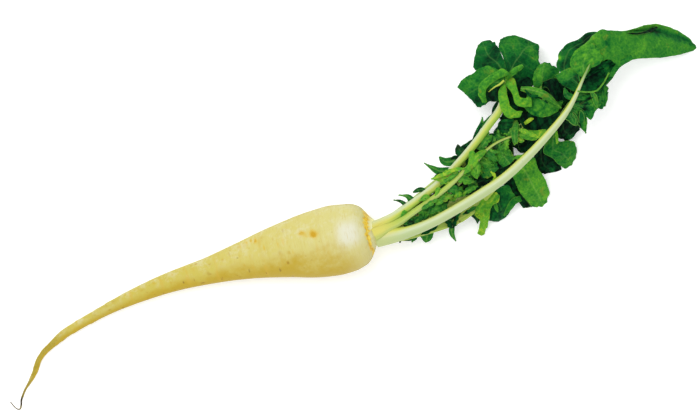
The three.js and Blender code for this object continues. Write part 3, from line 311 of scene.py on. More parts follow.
MIDDLE_LOBES = [
    sheet(0.97, 0.6, 2, [
        [(191.5, 26.5, 31), (199, 26, 32), (208, 23, 30)],
        [(194.7, 32, 31), (202, 31.5, 32.5), (213.5, 26.3, 29.5)],
        [(200.5, 36.5, 28.5), (205, 35, 29.5), (211.8, 30.5, 27.5)],
        [(204.2, 37.2, 25.5), (206.7, 36.6, 26), (209.4, 34.2, 25.5)],
    ], teeth=(3, 0.08), ribs=0.4, creases=0.4, patches=[(211, 29, 4.3, -0.3), (201, 32, 4.3, 0.08),
        (194.5, 24, 4.3, -0.1), (202.5, 26, 2.9, -0.2)]),
    sheet(0.9, 0.55, 2.5, [
        [(184, 27.5, 32.5), (185.5, 23.5, 34), (179.1, 16, 33)],
        [(190, 25.5, 35), (188.5, 19.5, 36.5), (179.8, 9.8, 34)],
        [(196.5, 19.5, 35.5), (192.5, 14, 37), (183.6, 4.8, 34)],
        [(200.7, 12, 34.5), (195.9, 7.4, 35.5), (190.5, 1.6, 33)],
        [(204.7, 6, 32), (201.6, 3.2, 33), (197.1, 1.6, 32)],
    ], ruffle=(0.5, 2), rim=1.5, ribs=0.4, creases=0.8, patches=[(188.5, 6, 5, 0.06),
        (183.5, 15, 2.9, -0.15), (198.5, 4, 2.9, 0.05), (182.5, 6, 3.6, -0.2)]),
    sheet(0.68, 0.22, 2.5, [
        [(147.5, 3.5, 19), (157, 5.5, 20), (167, 6.5, 21)],
        [(150, 8, 19.5), (158.5, 11, 21), (168, 12, 22)],
        [(153.5, 9.8, 18), (160, 14.5, 19), (167, 17, 20)],
    ], ruffle=(0.5, 2), patches=[(203.5, 14, 3.6, -0.1)]),
    loose(0.9, 0.6, (2.6, 3.4), (0.5, 0.4, 0.9), [(182.5, 28.5, 36.7), (190, 22.5, 38.5), (196.5, 15, 38.5),
        (201.5, 2.5, 34.1)], ribs=0.8, edge=0.4),
    painted_shade_sheet(0.78, 3, [
        [(174.5, 13.5, 32), (183.5, 8.5, 32.5), (199.5, 1, 32)],
        [(171, 8, 32), (181, 2, 32.5), (193.5, -5.5, 31)],
        [(171, 1.5, 31), (178.5, -4, 31), (187, -7, 30)],
    ]),
    sheet(0.6, 0.2, 2.5, [
        [(153.5, 8, 31), (157.5, 5, 32), (162, 3, 31)],
        [(157, 11.5, 33), (160.5, 9.5, 34), (165.5, 8, 33)],
        [(160, 15, 34), (163, 14, 34), (168, 11.5, 34)],
    ], ribs=0.3),
    sheet(0.62, 0.25, 2, [
        [(150, 3, 29), (147, 3, 29), (144, 4, 29)],
        [(152.5, 8, 30), (150, 9.5, 30), (147.5, 10.5, 30)],
    ], ribs=0.3),
    tongue(0.72, 1, 1.5, (0.5, 0.6, 0.8), [(174.5, 5, 34), (178, 5.5, 35), (180.5, 5, 34)], ribs=0,
        curl=(40, 40)),
    painted_shade_sheet(1, 1.5, [
        [(201.5, 25, 35), (200.5, 22.5, 35), (199.5, 19.5, 36)],
        [(207, 24, 36), (203.5, 19, 36.5), (199.5, 13, 37.5)],
        [(210, 20, 36), (206, 14.5, 36), (201, 8, 37)],
        [(210.5, 13.5, 35), (209, 10.5, 35), (205.5, 7, 35)],
    ]),
]
LOWER_LOBES = [
    sheet(0.95, 0.66, 3, [
        [(148, -23, 20), (157.5, -24, 21.5), (168, -19, 20.5)],
        [(147.3, -31, 18.5), (158, -32, 20.5), (168, -29.8, 18)],
        [(148, -41, 12), (158.5, -41.5, 14.5), (168.9, -39.8, 11.5)],
        [(150.5, -49, 5.5), (158.5, -49.5, 7), (167.2, -47.9, 5)],
        [(153.7, -53.1, 0.9), (158.4, -54.3, 1.3), (163, -52.4, 0.9)],
    ], teeth=(3, 0.05), ribs=0.6, creases=0.2, patches=[(153, -28.5, 5, -0.16), (164.5, -36.5, 4.3, 0.08),
        (163.5, -49, 3.6, 0.1), (155, -39.5, 3.6, -0.05), (162, -22.5, 2.9, 0.06)]),
    sheet(0.73, 0.28, 2.5, [
        [(121, -31, 16.5), (131, -31, 17.5), (142, -28, 17)],
        [(119.5, -39, 12.5), (130.5, -38.5, 14.5), (143.5, -35, 14)],
        [(118.4, -45.1, 8.5), (130, -44, 10.5), (143.9, -41.6, 10)],
        [(124.4, -49.3, 2), (131.2, -48.7, 3.5), (137.8, -44.6, 6)],
    ], ruffle=(0.8, 2), ribs=0.4, patches=[(137, -42, 2.9, 0.2), (129, -34, 5.8, -0.1),
        (125.5, -44, 4.3, -0.1), (145, -34, 4.3, 0.12)]),
    sheet(0.88, 0.08, 1.5, [
        [(140, -27, 15.5), (144.5, -27, 16.5), (149, -27, 16)],
        [(141.5, -34, 12), (144.8, -33, 13), (148.8, -33, 12.5)],
        [(143.7, -43, 6), (146, -42, 7), (149, -41, 7)],
        [(145, -49, 0.8), (147.5, -49.8, 1.2), (151.4, -51.3, 1.2)],
    ], rim=1.5, ribs=0),
    sheet(0.64, 0.86, 2.5, [
        [(110, -34.5, 16), (118, -35, 17.5), (126, -32, 17)],
        [(112.7, -41.2, 15), (116.5, -41, 16.5), (121.3, -41.3, 15)],
        [(110, -45.7, 9), (113, -47, 10), (116.2, -47.8, 8.5)],
        [(106.8, -49.3, 3.5), (108.6, -52.1, 3.8), (111.3, -52.4, 3.5)],
    ], ribs=0.5, creases=0.4, patches=[(122, -30, 3.6, -0.15), (123, -34.5, 2.2, 0.1)]),
    tongue(0.19, 0.25, 3.4, (0.8, 0.3, 1.3), [(64.9, -29.4, 18.5), (62, -32.4, 15)]),
    tongue(0.3, 0.5, (5, 5.6), (0.9, 0.35, 0.6), [(74.5, -32.3, 15.5), (70.9, -37.2, 10)]),
    tongue(0.44, 0.5, 2.2, (0.6, 0.5, 1), [(93.2, -35.9, 15), (90.5, -40.6, 10), (90.5, -46.9, 4.5)]),
    tongue(0.48, 0.35, 2.4, (0.6, 0.5, 0.6), [(96.2, -34.7, 15.5), (93.7, -36.6, 13.5)]),
    tongue(0.56, 0.12, 2.4, (0.8, 0.4, 1), [(111.9, -38.8, 13), (110.5, -42.7, 8)]),
    loose(0.5, 0.15, 3, (0.8, 0.4, 0.7), [(92.5, -30, 24), (92, -33, 24.5), (92, -37, 23)], ribs=0,
        teeth=(3, 0.2)),
    loose(0.55, 0.12, (2, 2.4), (0.8, 0.4, 0.7), [(99.5, -31, 24), (96.5, -33.5, 24.5), (93, -37.5, 23)],
        ribs=0, teeth=(3, 0.2)),
    loose(0.45, 0.2, 2.4, (0.8, 0.4, 0.7), [(84, -29.5, 24.5), (77.5, -30.5, 24.8), (70, -30.5, 24)],
        ribs=0, teeth=(3, 0.2)),
    loose(0.9, 0.46, (2.2, 2.8), (0.8, 0.4, 0.8), [(146.5, -42, 8.7), (141, -41.5, 12.7), (136, -44, 11.8),
        (130, -47, 8.6)], ribs=0, edge=0.6),
    loose(0.8, 0.62, 1.4, (0.7, 0.5, 0.7), [(128, -34.5, 17.1), (127.5, -38.5, 15.9), (127, -42.5, 13.4)],
        ribs=0, mottle=0.3),
    loose(0.7, 0.86, (6, 3.6), (0.6, 0.5, 0.7), [(133, -30.5, 18.8), (127, -32, 19), (118.5, -33, 23.4),
        (112, -35.5, 22.6)], ribs=0.4, creases=0.6, teeth=(4, 0.16)),
    loose(0.6, 0.3, (1.6, 1.8), (0.6, 0.5, 0.7), [(114.5, -31.5, 23.1), (109.5, -32, 23.3),
        (103.5, -32, 22.9)], ribs=0.3, creases=1, teeth=(3, 0.2)),
    loose(0.55, 0.16, (2.4, 2), (0.6, 0.5, 0.7), [(102.5, -30, 24.5), (96.5, -30, 25), (90, -30, 24.5)],
        ribs=0.3, creases=1, teeth=(3, 0.2)),
    loose(0.21, 0.08, 1.1, (0.9, 0.4, 0.6), [(55.5, -26, 33), (54, -28.5, 32)], ribs=0),
]
BACK_LOBES = [
    sheet(0.83, 0.42, 2.5, [
        [(176.5, -19, 14.5), (184, -20, 17), (190, -17, 15)],
        [(179.5, -26, 11.5), (187.5, -26.5, 15), (196.8, -20.5, 12)],
        [(182, -32.7, 6), (189.5, -31, 10), (200.5, -24.8, 8.5)],
        [(184.3, -37.3, 1.5), (190.6, -36.1, 4.5), (198.7, -31.3, 3.5)],
        [(187.1, -38.3, 0.8), (190.6, -37.7, 1), (193.9, -36.2, 1)],
    ], teeth=(3, 0.06), rim=1.6, ribs=0.6, edge=0.5, creases=0.4, patches=[(187.5, -18.5, 2.9, 0.08),
        (191, -34, 3.6, 0.04), (181, -22.5, 3.6, -0.1), (187.5, -28, 2.9, -0.08)]),
    sheet(0.74, 0.08, 2.5, [
        [(165.5, -24, 6.5), (173, -24, 8), (181, -23, 8)],
        [(166.5, -31, 2.5), (174, -32, 3.5), (183.5, -33.2, 3.5)],
        [(170.3, -34, 0.9), (176.1, -36.3, 0.9), (183, -37.5, 0.9)],
    ], ruffle=(0.4, 2), ribs=0.3, patches=[(177, -34.5, 2.2, 0.2), (173, -29.5, 2.2, 0.12)]),
    sheet(0.89, 0.06, 2, [
        [(190.5, -14, 14), (197, -12.5, 15.5), (208.9, -11.2, 14)],
        [(193.5, -18.2, 10.5), (198.8, -16.8, 11.5), (210, -15.8, 11)],
        [(194.1, -19.9, 7), (199.1, -21.2, 7.2), (205.9, -18.4, 8)],
    ], ribs=0.3, patches=[(199.5, -19.5, 2.9, 0.25)]),
    sheet(0.25, 0.15, 3, [
        [(69, -14, 7), (78, -13, 8), (89.5, -13, 7)],
        [(70, -8, 5), (79, -7.5, 6), (90.5, -6, 5)],
    ], ruffle=(0.6, 2)),
    sheet(0.42, 0.14, 3, [
        [(92, -14, 5), (102, -13, 6.5), (121.5, -21.5, 4)],
        [(93, -3, 4), (103, -2, 5), (115.5, -3, 3)],
    ], ruffle=(0.6, 2)),
    sheet(0.56, 0.13, 3, [
        [(117, -14, 5.5), (127.1, -17, 7), (137.8, -17, 6)],
        [(117, -3, 4), (127, -1, 5), (139, -2, 4)],
    ], ruffle=(0.6, 2)),
    sheet(0.6, 0.15, 3, [
        [(141.1, -18.4, 7), (149, -12, 8), (156, -14, 7)],
        [(142, -3, 5), (149, -2, 6), (158.8, -7.7, 5)],
        [(144, 5, 3), (150, 7, 4), (161.7, -0.1, 3)],
    ], ruffle=(0.6, 2)),
    sheet(0.75, 0.13, 3, [
        [(161.5, -12.5, 8), (175, -9.5, 10.5), (188, -8, 12)],
        [(163, 4, 7.5), (175, 5, 8.5), (189, 5, 9)],
        [(165, 16, 6), (177, 18, 7), (189, 17, 7)],
        [(170, 27, 4), (180, 30, 4), (190, 28, 5)],
    ], ruffle=(0.6, 2)),
    sheet(0.93, 0.14, 3, [
        [(189, -2, 14), (199, -1, 16), (210, 2, 16)],
        [(190, 8, 10.5), (201, 9, 12), (216, 9, 14)],
        [(194, 16, 7), (204, 18.5, 8), (216, 18, 10)],
        [(199, 23.5, 5), (204.5, 25.5, 5), (210, 24.5, 6)],
    ], ruffle=(0.6, 2)),
    painted_shade_sheet(0.75, 3, [
        [(166, -2, 17), (175, -6, 18), (184.5, -8.5, 18)],
        [(162, -7, 16), (169.5, -10.5, 16), (176.5, -14.5, 16)],
        [(162.5, -12.5, 14), (165.5, -15.5, 14), (169.5, -17, 14)],
    ]),
    sheet(0.62, 0.06, 2, [
        [(149.5, -10, 11), (152, -11.5, 11), (156, -13, 11)],
        [(153, -3.5, 12), (155.5, -5, 12), (158, -7.5, 12)],
        [(156, 2.5, 12), (159, 1.5, 12), (161, -1, 12)],
    ], ribs=0.3),
    sheet(0.64, 0.06, 2, [
        [(153, -14.5, 11), (156.5, -16.5, 11), (161, -17, 11)],
        [(154.5, -11, 12), (158, -12.5, 12), (161.5, -14, 12)],
    ], ribs=0.3),
    sheet(0.68, 0.08, 1, [
        [(156, -2, 15), (159, -5.5, 15), (164, -8.5, 15)],
        [(158.5, 2.5, 15), (163, 0.5, 15), (167.5, -2.5, 15)],
    ], ribs=0.3),
    tongue(0.83, 0.86, 1.1, (0.6, 0.5, 0.6), [(189.5, -15, 24), (187.5, -19, 22)], ribs=0),
]
YOUNG_OUTER_LOBES = [
    sheet(0.95, 0.72, 1.5, [
        [(130, 5.8, 42.5), (126.5, 0, 45), (122, -6, 43)],
        [(131.5, -1, 43.5), (127.5, -6.5, 44.5), (122.3, -10.5, 42)],
        [(129, -9.5, 41.5), (126.5, -12, 42), (124, -14.2, 41)],
    ], ruffle=(0.6, 2)),
    tongue(0.72, 0.85, 2.6, (0.7, 0.4, 1.1), [(103.5, -4, 41.5), (100, -1, 41), (95.3, 1.4, 40)]),
    tongue(0.82, 0.7, 3, (0.6, 0.4, 0.8), [(112, -3.5, 42.5), (115.5, -1, 42.5)]),
    tongue(0.5, 0.72, 2.4, (0.6, 0.4, 0.9), [(86, -8.5, 41.5), (80, -8.5, 40.5)]),
    tongue(0.35, 0.08, 2.6, (0.6, 0.5, 0.6), [(74.5, -11, 34), (85.5, -11, 34), (100, -9.5, 34)], ribs=0,
        teeth=(4, 0.1)),
    loose(0.6, 0.86, (2.2, 1.6), (0.4, 0.5, 0.6), [(95.5, 1, 41.3), (102.5, 0, 42.8), (111, -0.5, 44),
        (120.5, -3.5, 45.2)], ribs=0.4, teeth=(4, 0.16)),
    loose(0.6, 0.62, 1.8, (0.5, 0.5, 0.7), [(99, -5, 40), (105.5, -4.5, 42.8), (113.5, -4.5, 45)], ribs=0.4,
        creases=1, teeth=(3, 0.2)),
    tongue(0.62, 0.75, 1.8, (0.5, 0.4, 0.8), [(96, -7.5, 42.5), (91, -12, 42)], ribs=0.4),
    tongue(0.36, 0.8, 1.6, (0.5, 0.4, 0.8), [(67, -10.5, 39.5), (62.5, -13.5, 39)], ribs=0),
]
YOUNG_INNER_LOBES = [
    sheet(0.97, 0.66, 1.2, [
        [(170.5, 0, 34.5), (170, -2.5, 36), (168, -5, 34.5)],
        [(176, -2.5, 34), (176, -5.5, 35.5), (173, -8.5, 33.5)],
        [(184.5, -6, 32), (183.5, -7.8, 32.5), (180.5, -9.4, 31.5)],
    ], ruffle=(0.3, 2), ribs=0.3, patches=[(179.5, -6.5, 2.9, 0.12), (172, -2, 2.9, -0.1)]),
    sheet(0.75, 0.5, 2, [
        [(139, -4, 31), (133, -6, 32.5), (127, -8.5, 31)],
        [(143, -9, 29.5), (136, -11.5, 31), (128, -14, 29.5)],
        [(141, -14, 27.5), (136.5, -16.5, 28.5), (131, -17.5, 27.5)],
    ], ruffle=(1.5, 3)),
    sheet(0.88, 0.55, 2, [
        [(155, -3.5, 31.5), (149.5, -5, 33), (144, -4.5, 31.5)],
        [(155.5, -8.5, 29.5), (149.5, -10.5, 31), (143.5, -11, 29.5)],
        [(156, -13.5, 27.5), (150.5, -15.5, 28), (145, -15.5, 27.5)],
    ], ruffle=(1.5, 3)),
    tongue(0.96, 0.5, 2.8, (0.5, 0.45, 0.8), [(166, 4, 33.5), (169.3, 9.7, 32.5)], curl=(25, 25), edge=0.5),
    tongue(0.86, 0.5, 3.4, (0.5, 0.45, 0.8), [(146, 5.5, 32.5), (141, 8, 31)], ruffle=(1, 2)),
    tongue(0.93, 0.62, 3, (0.5, 0.45, 0.8), [(160, 5, 33), (155, 7, 32)], ruffle=(1, 2)),
    tongue(0.95, 0.88, 2.2, (0.6, 0.4, 0.8), [(165, -4, 32), (167, -6, 31)]),
    tongue(0.5, 0.1, 6, (0.6, 0.5, 0.6), [(112.5, -17, 25), (124, -17, 24), (136.5, -18, 23)], ribs=0.3,
        teeth=(4, 0.15)),
    tongue(0.6, 0.1, 7, (0.6, 0.5, 0.6), [(132.5, -14.5, 25), (142.5, -15.5, 24), (153.5, -15.5, 23)],
        ribs=0.3, teeth=(4, 0.15)),
    loose(0.56, 0.1, 5, (0.6, 0.5, 0.6), [(125, 3.5, 26), (133, 5, 26), (140.5, 6.5, 26)], ribs=0.3,
        teeth=(3, 0.15)),
    sprig(0.34, 0.52, (3, 2.6), [(81.5, -19, 37.3), (89, -19.5, 38.4), (97, -20, 30.9)]),
    sprig(0.28, 0.42, (2.8, 2.6), [(70, -20, 37.6), (76, -19.5, 34), (82, -20, 37.4)]),
    sprig(0.46, 0.82, 3, [(100, -18.5, 29), (106.5, -17, 40.4), (113, -14, 28.1)]),
    sprig(0.4, 0.66, (2.8, 2.2), [(89.5, -16.5, 39.9), (96.5, -16, 41.6), (103.5, -16, 42.8)]),
    sprig(0.36, 0.62, (2.2, 2), [(79, -14.5, 42.9), (86, -14, 43.8), (92.5, -13.5, 43.2)]),
    sprig(0.5, 0.78, (2.6, 2.2), [(107, -19, 31.3), (114.5, -18.5, 33), (122.5, -19, 32)]),
    sprig(0.24, 0.16, (2, 2.2), [(62, -19.5, 33.8), (67, -19.5, 38.7), (72.5, -20, 33.5)]),
    loose(0.5, 0.8, (3.4, 3), (0.4, 0.5, 0.7), [(139.5, 1, 37.8), (131.5, 0, 45.8), (124, -3.5, 46.2),
        (117.5, -6.5, 45.1)], ribs=0.5, creases=0.6, teeth=(4, 0.15)),
    loose(0.7, 0.62, (3, 3.4), (0.5, 0.5, 0.7), [(138, 4.5, 37.3), (142.5, 7, 38.3), (148.5, 8.5, 34.1)],
        ribs=0.5, creases=0.8, teeth=(3, 0.15)),
    loose(0.8, 0.48, (2.4, 2.8), (0.6, 0.5, 0.8), [(160.5, -4, 36.5), (163.5, 2.5, 36.9),
        (168.5, 9.5, 34.1)], ribs=0.5, edge=0.4),
    loose(0.8, 0.8, (2.2, 1.8), (0.6, 0.4, 0.8), [(167.5, 3, 35), (172, -2.5, 37.6), (178, -10, 40)],
        ribs=0.3, teeth=(3, 0.15)),
]
LEAVES = {
    "front": {
        "stalk": [(40.3, -19, 33.5), (48, -21.6, 35), (59.8, -24.3, 38), (79.9, -26.3, 42),
            (100, -26.1, 45.5), (120, -24.8, 48.5), (140, -22.6, 51), (160, -17.6, 53), (180, -11, 55),
            (200, -2.8, 57), (212, 4.5, 58), (223, 13, 57.5), (233, 20.5, 55.5)],
        "wide": (11, 9.6, 7.8, 7.4, 7.4, 7.2, 6.8, 6, 5, 3.6, 2.2, 1.4), "thick": 0.8, "face": -160,
        "lobes": FRONT_LOBES,
    },
    "upper": {
        "stalk": [(40.2, -9.6, 33.5), (48.2, -9.4, 33.5), (60.2, -9.5, 33.5), (80, -7.3, 34),
            (100, -3.9, 35), (120, 2.9, 36.5), (134.8, 8.8, 37.5), (150.4, 16.2, 38.5), (161, 21.3, 39),
            (167.6, 27.2, 39), (172.5, 34, 39), (177, 41, 38)],
        "wide": (12, 7.8, 6.8, 6.6, 6.8, 6.8, 6.8, 7, 7, 5.8, 3.6, 1.6), "thick": 0.8, "face": 120,
        "lobes": UPPER_LOBES,
    },
    "middle": {
        "stalk": [(40, -10, 27.5), (48, -10.3, 26), (60, -9.8, 22), (80, -6.6, 18.5), (100, -2.5, 18),
            (120, 0.5, 19), (140, 1.5, 21), (158, 2.5, 23.5), (172, 4.8, 26), (182, 9.5, 29),
            (190, 16.5, 31), (197, 23.5, 31)],
        "wide": (9, 7, 6, 5.6, 5.2, 4.8, 4.4, 3.8, 3.2, 2.6, 1.6), "thick": 0.8, "face": 180,
        "lobes": MIDDLE_LOBES,
        "frills": {"from": 0.38, "to": 0.62, "count": 12, "length": (6, 11), "half": (2, 3), "sides": (1,),
            "drop": (-4, 2), "seed": 53},
    },
    "lower": {
        "stalk": [(40, -19, 28), (48, -21.6, 26), (60, -25.7, 23.5), (80, -30.3, 21), (97.8, -33.2, 19.5),
            (108.9, -32.6, 19.5), (119.7, -29.9, 20), (132, -25.5, 21), (145, -21.5, 22),
            (157, -17.5, 23.5)],
        "wide": (9, 7.6, 7.2, 7.2, 6.6, 6, 5.2, 4, 2.4), "thick": 0.75, "face": 170, "lobes": LOWER_LOBES,
    },
    "back": {
        "stalk": [(40, -13.5, 23.5), (48, -15, 20), (60, -17.5, 15), (80, -20.5, 10.5), (110, -22.5, 8.5),
            (140, -21.5, 9), (165, -15.5, 13), (185, -9, 17), (200, -2, 20), (210, 3.5, 21)],
        "wide": (9, 7, 6.2, 6, 5.6, 5, 4.2, 3.4, 2.4, 1.6), "thick": 0.8, "face": 180, "lobes": BACK_LOBES,
    },
    "young_outer": {
        "stalk": [(40, -14.5, 38), (48, -14.9, 38), (60, -15.3, 38.5), (75, -13.4, 40), (90, -11.5, 41),
            (105, -8.7, 42), (118, -4.8, 43), (125, -2, 43.5)],
        "wide": (10, 8, 5.6, 4.4, 4, 3.8, 3.4, 2.8, 1.6), "thick": 0.8, "face": 180, "young": True,
        "lobes": YOUNG_OUTER_LOBES,
        "leaflets": {"from": 0.32, "to": 0.92, "count": 7, "length": (9, 12), "half": 3.6, "lean": 60,
            "sink": (3, 6), "rise": 2, "seed": 3, "sides": (1,)},
        "frills": {"from": 0.34, "to": 0.98, "count": 16, "length": (6, 11), "half": (1.6, 2.6),
            "sides": (1,), "drop": (2, 8), "seed": 31},
    },
    "young_inner": {
        "stalk": [(44, -16.5, 33), (55, -18, 31.5), (70, -18.5, 31), (85, -17, 31), (100, -14, 31.5),
            (118, -8.3, 33), (131, -2.5, 35), (140, 1, 36), (150, 2.2, 36), (160, 1.2, 35),
            (167, -0.8, 34)],
        "wide": (4.4, 4.2, 3.8, 3.4, 3, 2.4, 1.8, 1.6, 1.4), "thick": 0.8, "face": 180, "young": True,
        "lobes": YOUNG_INNER_LOBES,
        "leaflets": {"from": 0.2, "to": 0.72, "count": 8, "length": (10, 13), "half": 4, "lean": 68,
            "sink": (1, 5), "rise": 2, "seed": 11, "sides": (1,)},
        "frills": {"from": 0.12, "to": 0.97, "count": 52, "length": (5, 11), "half": (1.5, 2.6),
            "sides": (1, -1), "drop": (-2, 6), "seed": 47},
    },
}

# Looks that only the scene has.
EXPOSED = 1.2  # how much brighter than its colour a level surface is in this light
UPPER_RIB = [(174, 39, 46), (170, 38, 47.5), (166, 38, 47), (160.5, 37, 45)]  # a bare side rib
# The stalks. hand: the flank that is yellow-green, 1 right. shift and rise: how far that colour reaches
# round, at the foot and further up. tint: 0 near white to 1 yellow-green all round. sheath: how much
# wider the stalk is on one side, where along it and over what reach.
STALK_LOOKS = {
    "front": {"hand": -1, "shift": -0.75, "rise": 0.55, "groove": 0.3, "tint": 0.0, "sheath": (3.5, 6, 16)},
    "upper": {
        "hand": 1, "shift": 0.2, "rise": 0.6, "groove": 1, "tint": 0.0, "sheath": (-2.2, 22, 16),
        "twigs": [UPPER_RIB],
    },
    "middle": {"hand": 1, "shift": 0.3, "rise": 0, "groove": 0, "tint": 0.8},
    "lower": {"hand": 1, "shift": 0.3, "rise": 0, "groove": 0.4, "tint": 1.0},
    "back": {"hand": 1, "shift": 0.3, "rise": 0, "groove": 0, "tint": 0.8},
    "young_outer": {"hand": -1, "shift": 0.2, "rise": 0, "groove": 0.8, "tint": 0.75},
    "young_inner": {"hand": -1, "shift": 0.2, "rise": 0, "groove": 0.4, "tint": 0.7},
}
SEEDS = {
    "root": 5, "front": 101, "upper": 202, "middle": 303, "lower": 404, "back": 505, "young_outer": 606,
    "young_inner": 707,
}
MARKS = 150  # grooves where side roots were
MARK_ROWS = (130, 28, 118, 40, 18, 75, 215, 300)  # degrees round the root, from its right side over the top
MARK_REACH = (40, 262)  # millimetres from the tip
RINGS = 46  # faint rings round the root
RING_REACH = (60, 300)
KNOBS = 26  # small steps on the thin end
KNOB_REACH = (14, 130)
ROOT_WAY = (0.956, -0.292)  # the root's direction at its thick end
SCAR_SPOTS = [  # x, y, half length, half width, depth, orange and brown of the scars on top of the root
    (2, 6.4, 3.6, 3.4, 0.5, 1.0, 0),
    (-4.6, 10.4, 3.6, 2.6, 0.15, 0.75, 0),
    (-3.2, 7, 1.8, 1.2, 0.1, 0.5, 0),
    (-37.1, 21.5, 1.4, 3, 0.15, 0.8, 0.15),
    (-39.8, 23, 1.2, 2, 0.1, 0.75, 0.25),
    (-33.7, 14.1, 1, 3, 0.2, 0.7, 0.4),
    (-23.9, 11.2, 1, 3, 0.1, 0.6, 0.15),
    (-19.7, 11.5, 1.3, 3.4, 0.1, 0.65, 0),
    (-16.8, 1.8, 1, 2.6, 0.1, 0.55, 0),
    (-43.4, 23.3, 1, 1.8, 0.1, 0.65, 0.2),
    (-48.6, 22.8, 1, 2, 0.1, 0.6, 0.3),
    (-54.2, 16.8, 1.1, 1, 0.2, 0, 0.7),
    (-51.1, 4.6, 1, 2.2, 0.2, 0.3, 0.75),
    (-31, -5.2, 1, 2.4, 0.2, 0.3, 0.75),
    (-26, -6.4, 0.9, 1.2, 0.1, 0.3, 0.6),
    (-97.2, 19.4, 0.9, 1.6, 0.15, 0.4, 0.8),
    (-89.5, 17, 0.8, 2, 0.1, 0.4, 0.6),
]
FLOOR_GLOW = 0.3
ROOM_LIGHT = 0.92
KEY_AT = (-0.1, 0.45, 1.5)  # the lamp above, in metres
KEY_SIZE = 0.7
KEY_WATTS = 9
LIT_POINT = (0.03, 0.01, 0.02)  # where the lamp looks


def lehmer(seed):
    """A repeatable stream of numbers from 0 to 1, the same as the part's."""
    state = seed
    while True:
        state = (state * 16807) % 2147483647
        yield state / 2147483647


def mix(a, b, share):
    return a + (b - a) * share


def along(values, share):
    """A value between the entries of a list, at a share of its length."""
    return np.interp(share, np.linspace(0, 1, len(values)), values) if len(values) > 1 else values[0]


def unit(vectors):
    return vectors / np.maximum(np.linalg.norm(vectors, axis=-1, keepdims=True), 1e-12)


def bell(distance, width):
    """1 at no distance and nearly 0 at twice the width."""
    return np.exp(-((distance / width) ** 2))


def apart(turn, at):
    """The angle from at to turn, at most half a turn either way."""
    return (turn - at + math.pi) % (2 * math.pi) - math.pi


def run_along(path):
    """The length of a path up to each of its points."""
    return np.concatenate([[0], np.cumsum(np.linalg.norm(np.diff(path, axis=0), axis=1))])


def spline(points, share):
    """The curve through points, one point a step of equal share. points may hold any shape of value, and
    share is a number or a list of numbers."""
    points = np.asarray(points, float)
    share = np.atleast_1d(np.asarray(share, float))
    last = len(points) - 1
    place = np.clip(share, 0, 1) * last
    low = np.minimum(place.astype(int), last - 1)
    t = (place - low).reshape((-1,) + (1,) * (points.ndim - 1))
    padded = np.concatenate([[2 * points[0] - points[1]], points, [2 * points[-1] - points[-2]]])
    a, b, c, d = (padded[low + k] for k in range(4))
    v0, v1 = (c - a) / 2, (d - b) / 2
    return (2 * b - 2 * c + v0 + v1) * t**3 + (-3 * b + 3 * c - 2 * v0 - v1) * t**2 + v0 * t + b


def frames(points, share):
    """Centre, direction, level side and upright normal of the curve through points."""
    share = np.atleast_1d(np.asarray(share, float))
    step = 1e-4
    centre = spline(points, share)
    ahead = spline(points, np.minimum(share + step, 1))
    behind = spline(points, np.maximum(share - step, 0))
    tangent = unit(ahead - behind)
    side = unit(np.cross(tangent, UP))
    return centre, tangent, side, np.cross(side, tangent)


def stalk_frames(leaf, share):
    """A stalk's sections. face points out of its channelled side, and lateral runs across that side."""
    centre, tangent, side, normal = frames(leaf["stalk"], share)
    turn = math.radians(leaf["face"])
    face = normal * math.cos(turn) + side * math.sin(turn)
    lateral = unit(np.cross(tangent, face))
    half = along(leaf["wide"], np.atleast_1d(share)) / 2
    return centre, tangent, face, lateral, half, half * leaf["thick"]


def wing_at(leaf, share):
    """Where the green strip runs: just off the channelled face."""
    centre, _, face, lateral, _, deep = stalk_frames(leaf, share)
    return centre + face * (CHANNEL * np.reshape(deep, (-1, 1)) + GAP + BLADE / 2), lateral


class Body:
    """Gathers grids of points into one mesh, with a number for each point under each attribute's name."""

    def __init__(self):
        self.points = []
        self.faces = []
        self.values = {}
        self.count = 0

    def add(self, points, faces, values):
        points = np.asarray(points, float).reshape(-1, 3)
        faces = np.asarray(faces, int)
        a, b, c, d = (points[faces[:, k]] for k in range(4))
        inside_out = np.einsum("ij,ij->i", a, np.cross(b, c) + np.cross(c, d)).sum() < 0
        self.points.append(points)
        self.faces.append((faces[:, ::-1] if inside_out else faces) + self.count)
        for name, numbers in values.items():
            self.values.setdefault(name, []).append(numbers)
        self.count += len(points)

    def mesh(self, name, material, sharp):
        """The finished object. Faces that meet at more than sharp degrees keep a crease."""
        mesh = bpy.data.meshes.new(name)
        faces = [list(dict.fromkeys(face)) for face in np.concatenate(self.faces).tolist()]
        mesh.from_pydata((np.concatenate(self.points) * MM).tolist(), [], faces)
        for key, numbers in self.values.items():
            attribute = mesh.attributes.new(key, "FLOAT", "POINT")
            attribute.data.foreach_set("value", np.concatenate(numbers).astype(np.float32))
        mesh.validate()
        mesh.shade_smooth()
        mesh.set_sharp_from_angle(angle=math.radians(sharp))
        mesh.materials.append(material)
        made = bpy.data.objects.new(name, mesh)
        bpy.context.scene.collection.objects.link(made)
        return made


def ring_faces(rings, sides):
    """Quads between rings, with the first and last ring closed by fans round two more points."""
    i, j = np.meshgrid(np.arange(rings - 1), np.arange(sides), indexing="ij")
    a = (i * sides + j).ravel()
    b = (i * sides + (j + 1) % sides).ravel()
    walls = np.stack([a, b, b + sides, a + sides], 1)
    edge = np.arange(sides)
    following = (edge + 1) % sides
    first, last = rings * sides, rings * sides + 1
    start = np.stack([following, edge, np.full(sides, first), np.full(sides, first)], 1)
    top = (rings - 1) * sides
    end = np.stack([top + edge, top + following, np.full(sides, last), np.full(sides, last)], 1)
    return np.concatenate([walls, start, end])


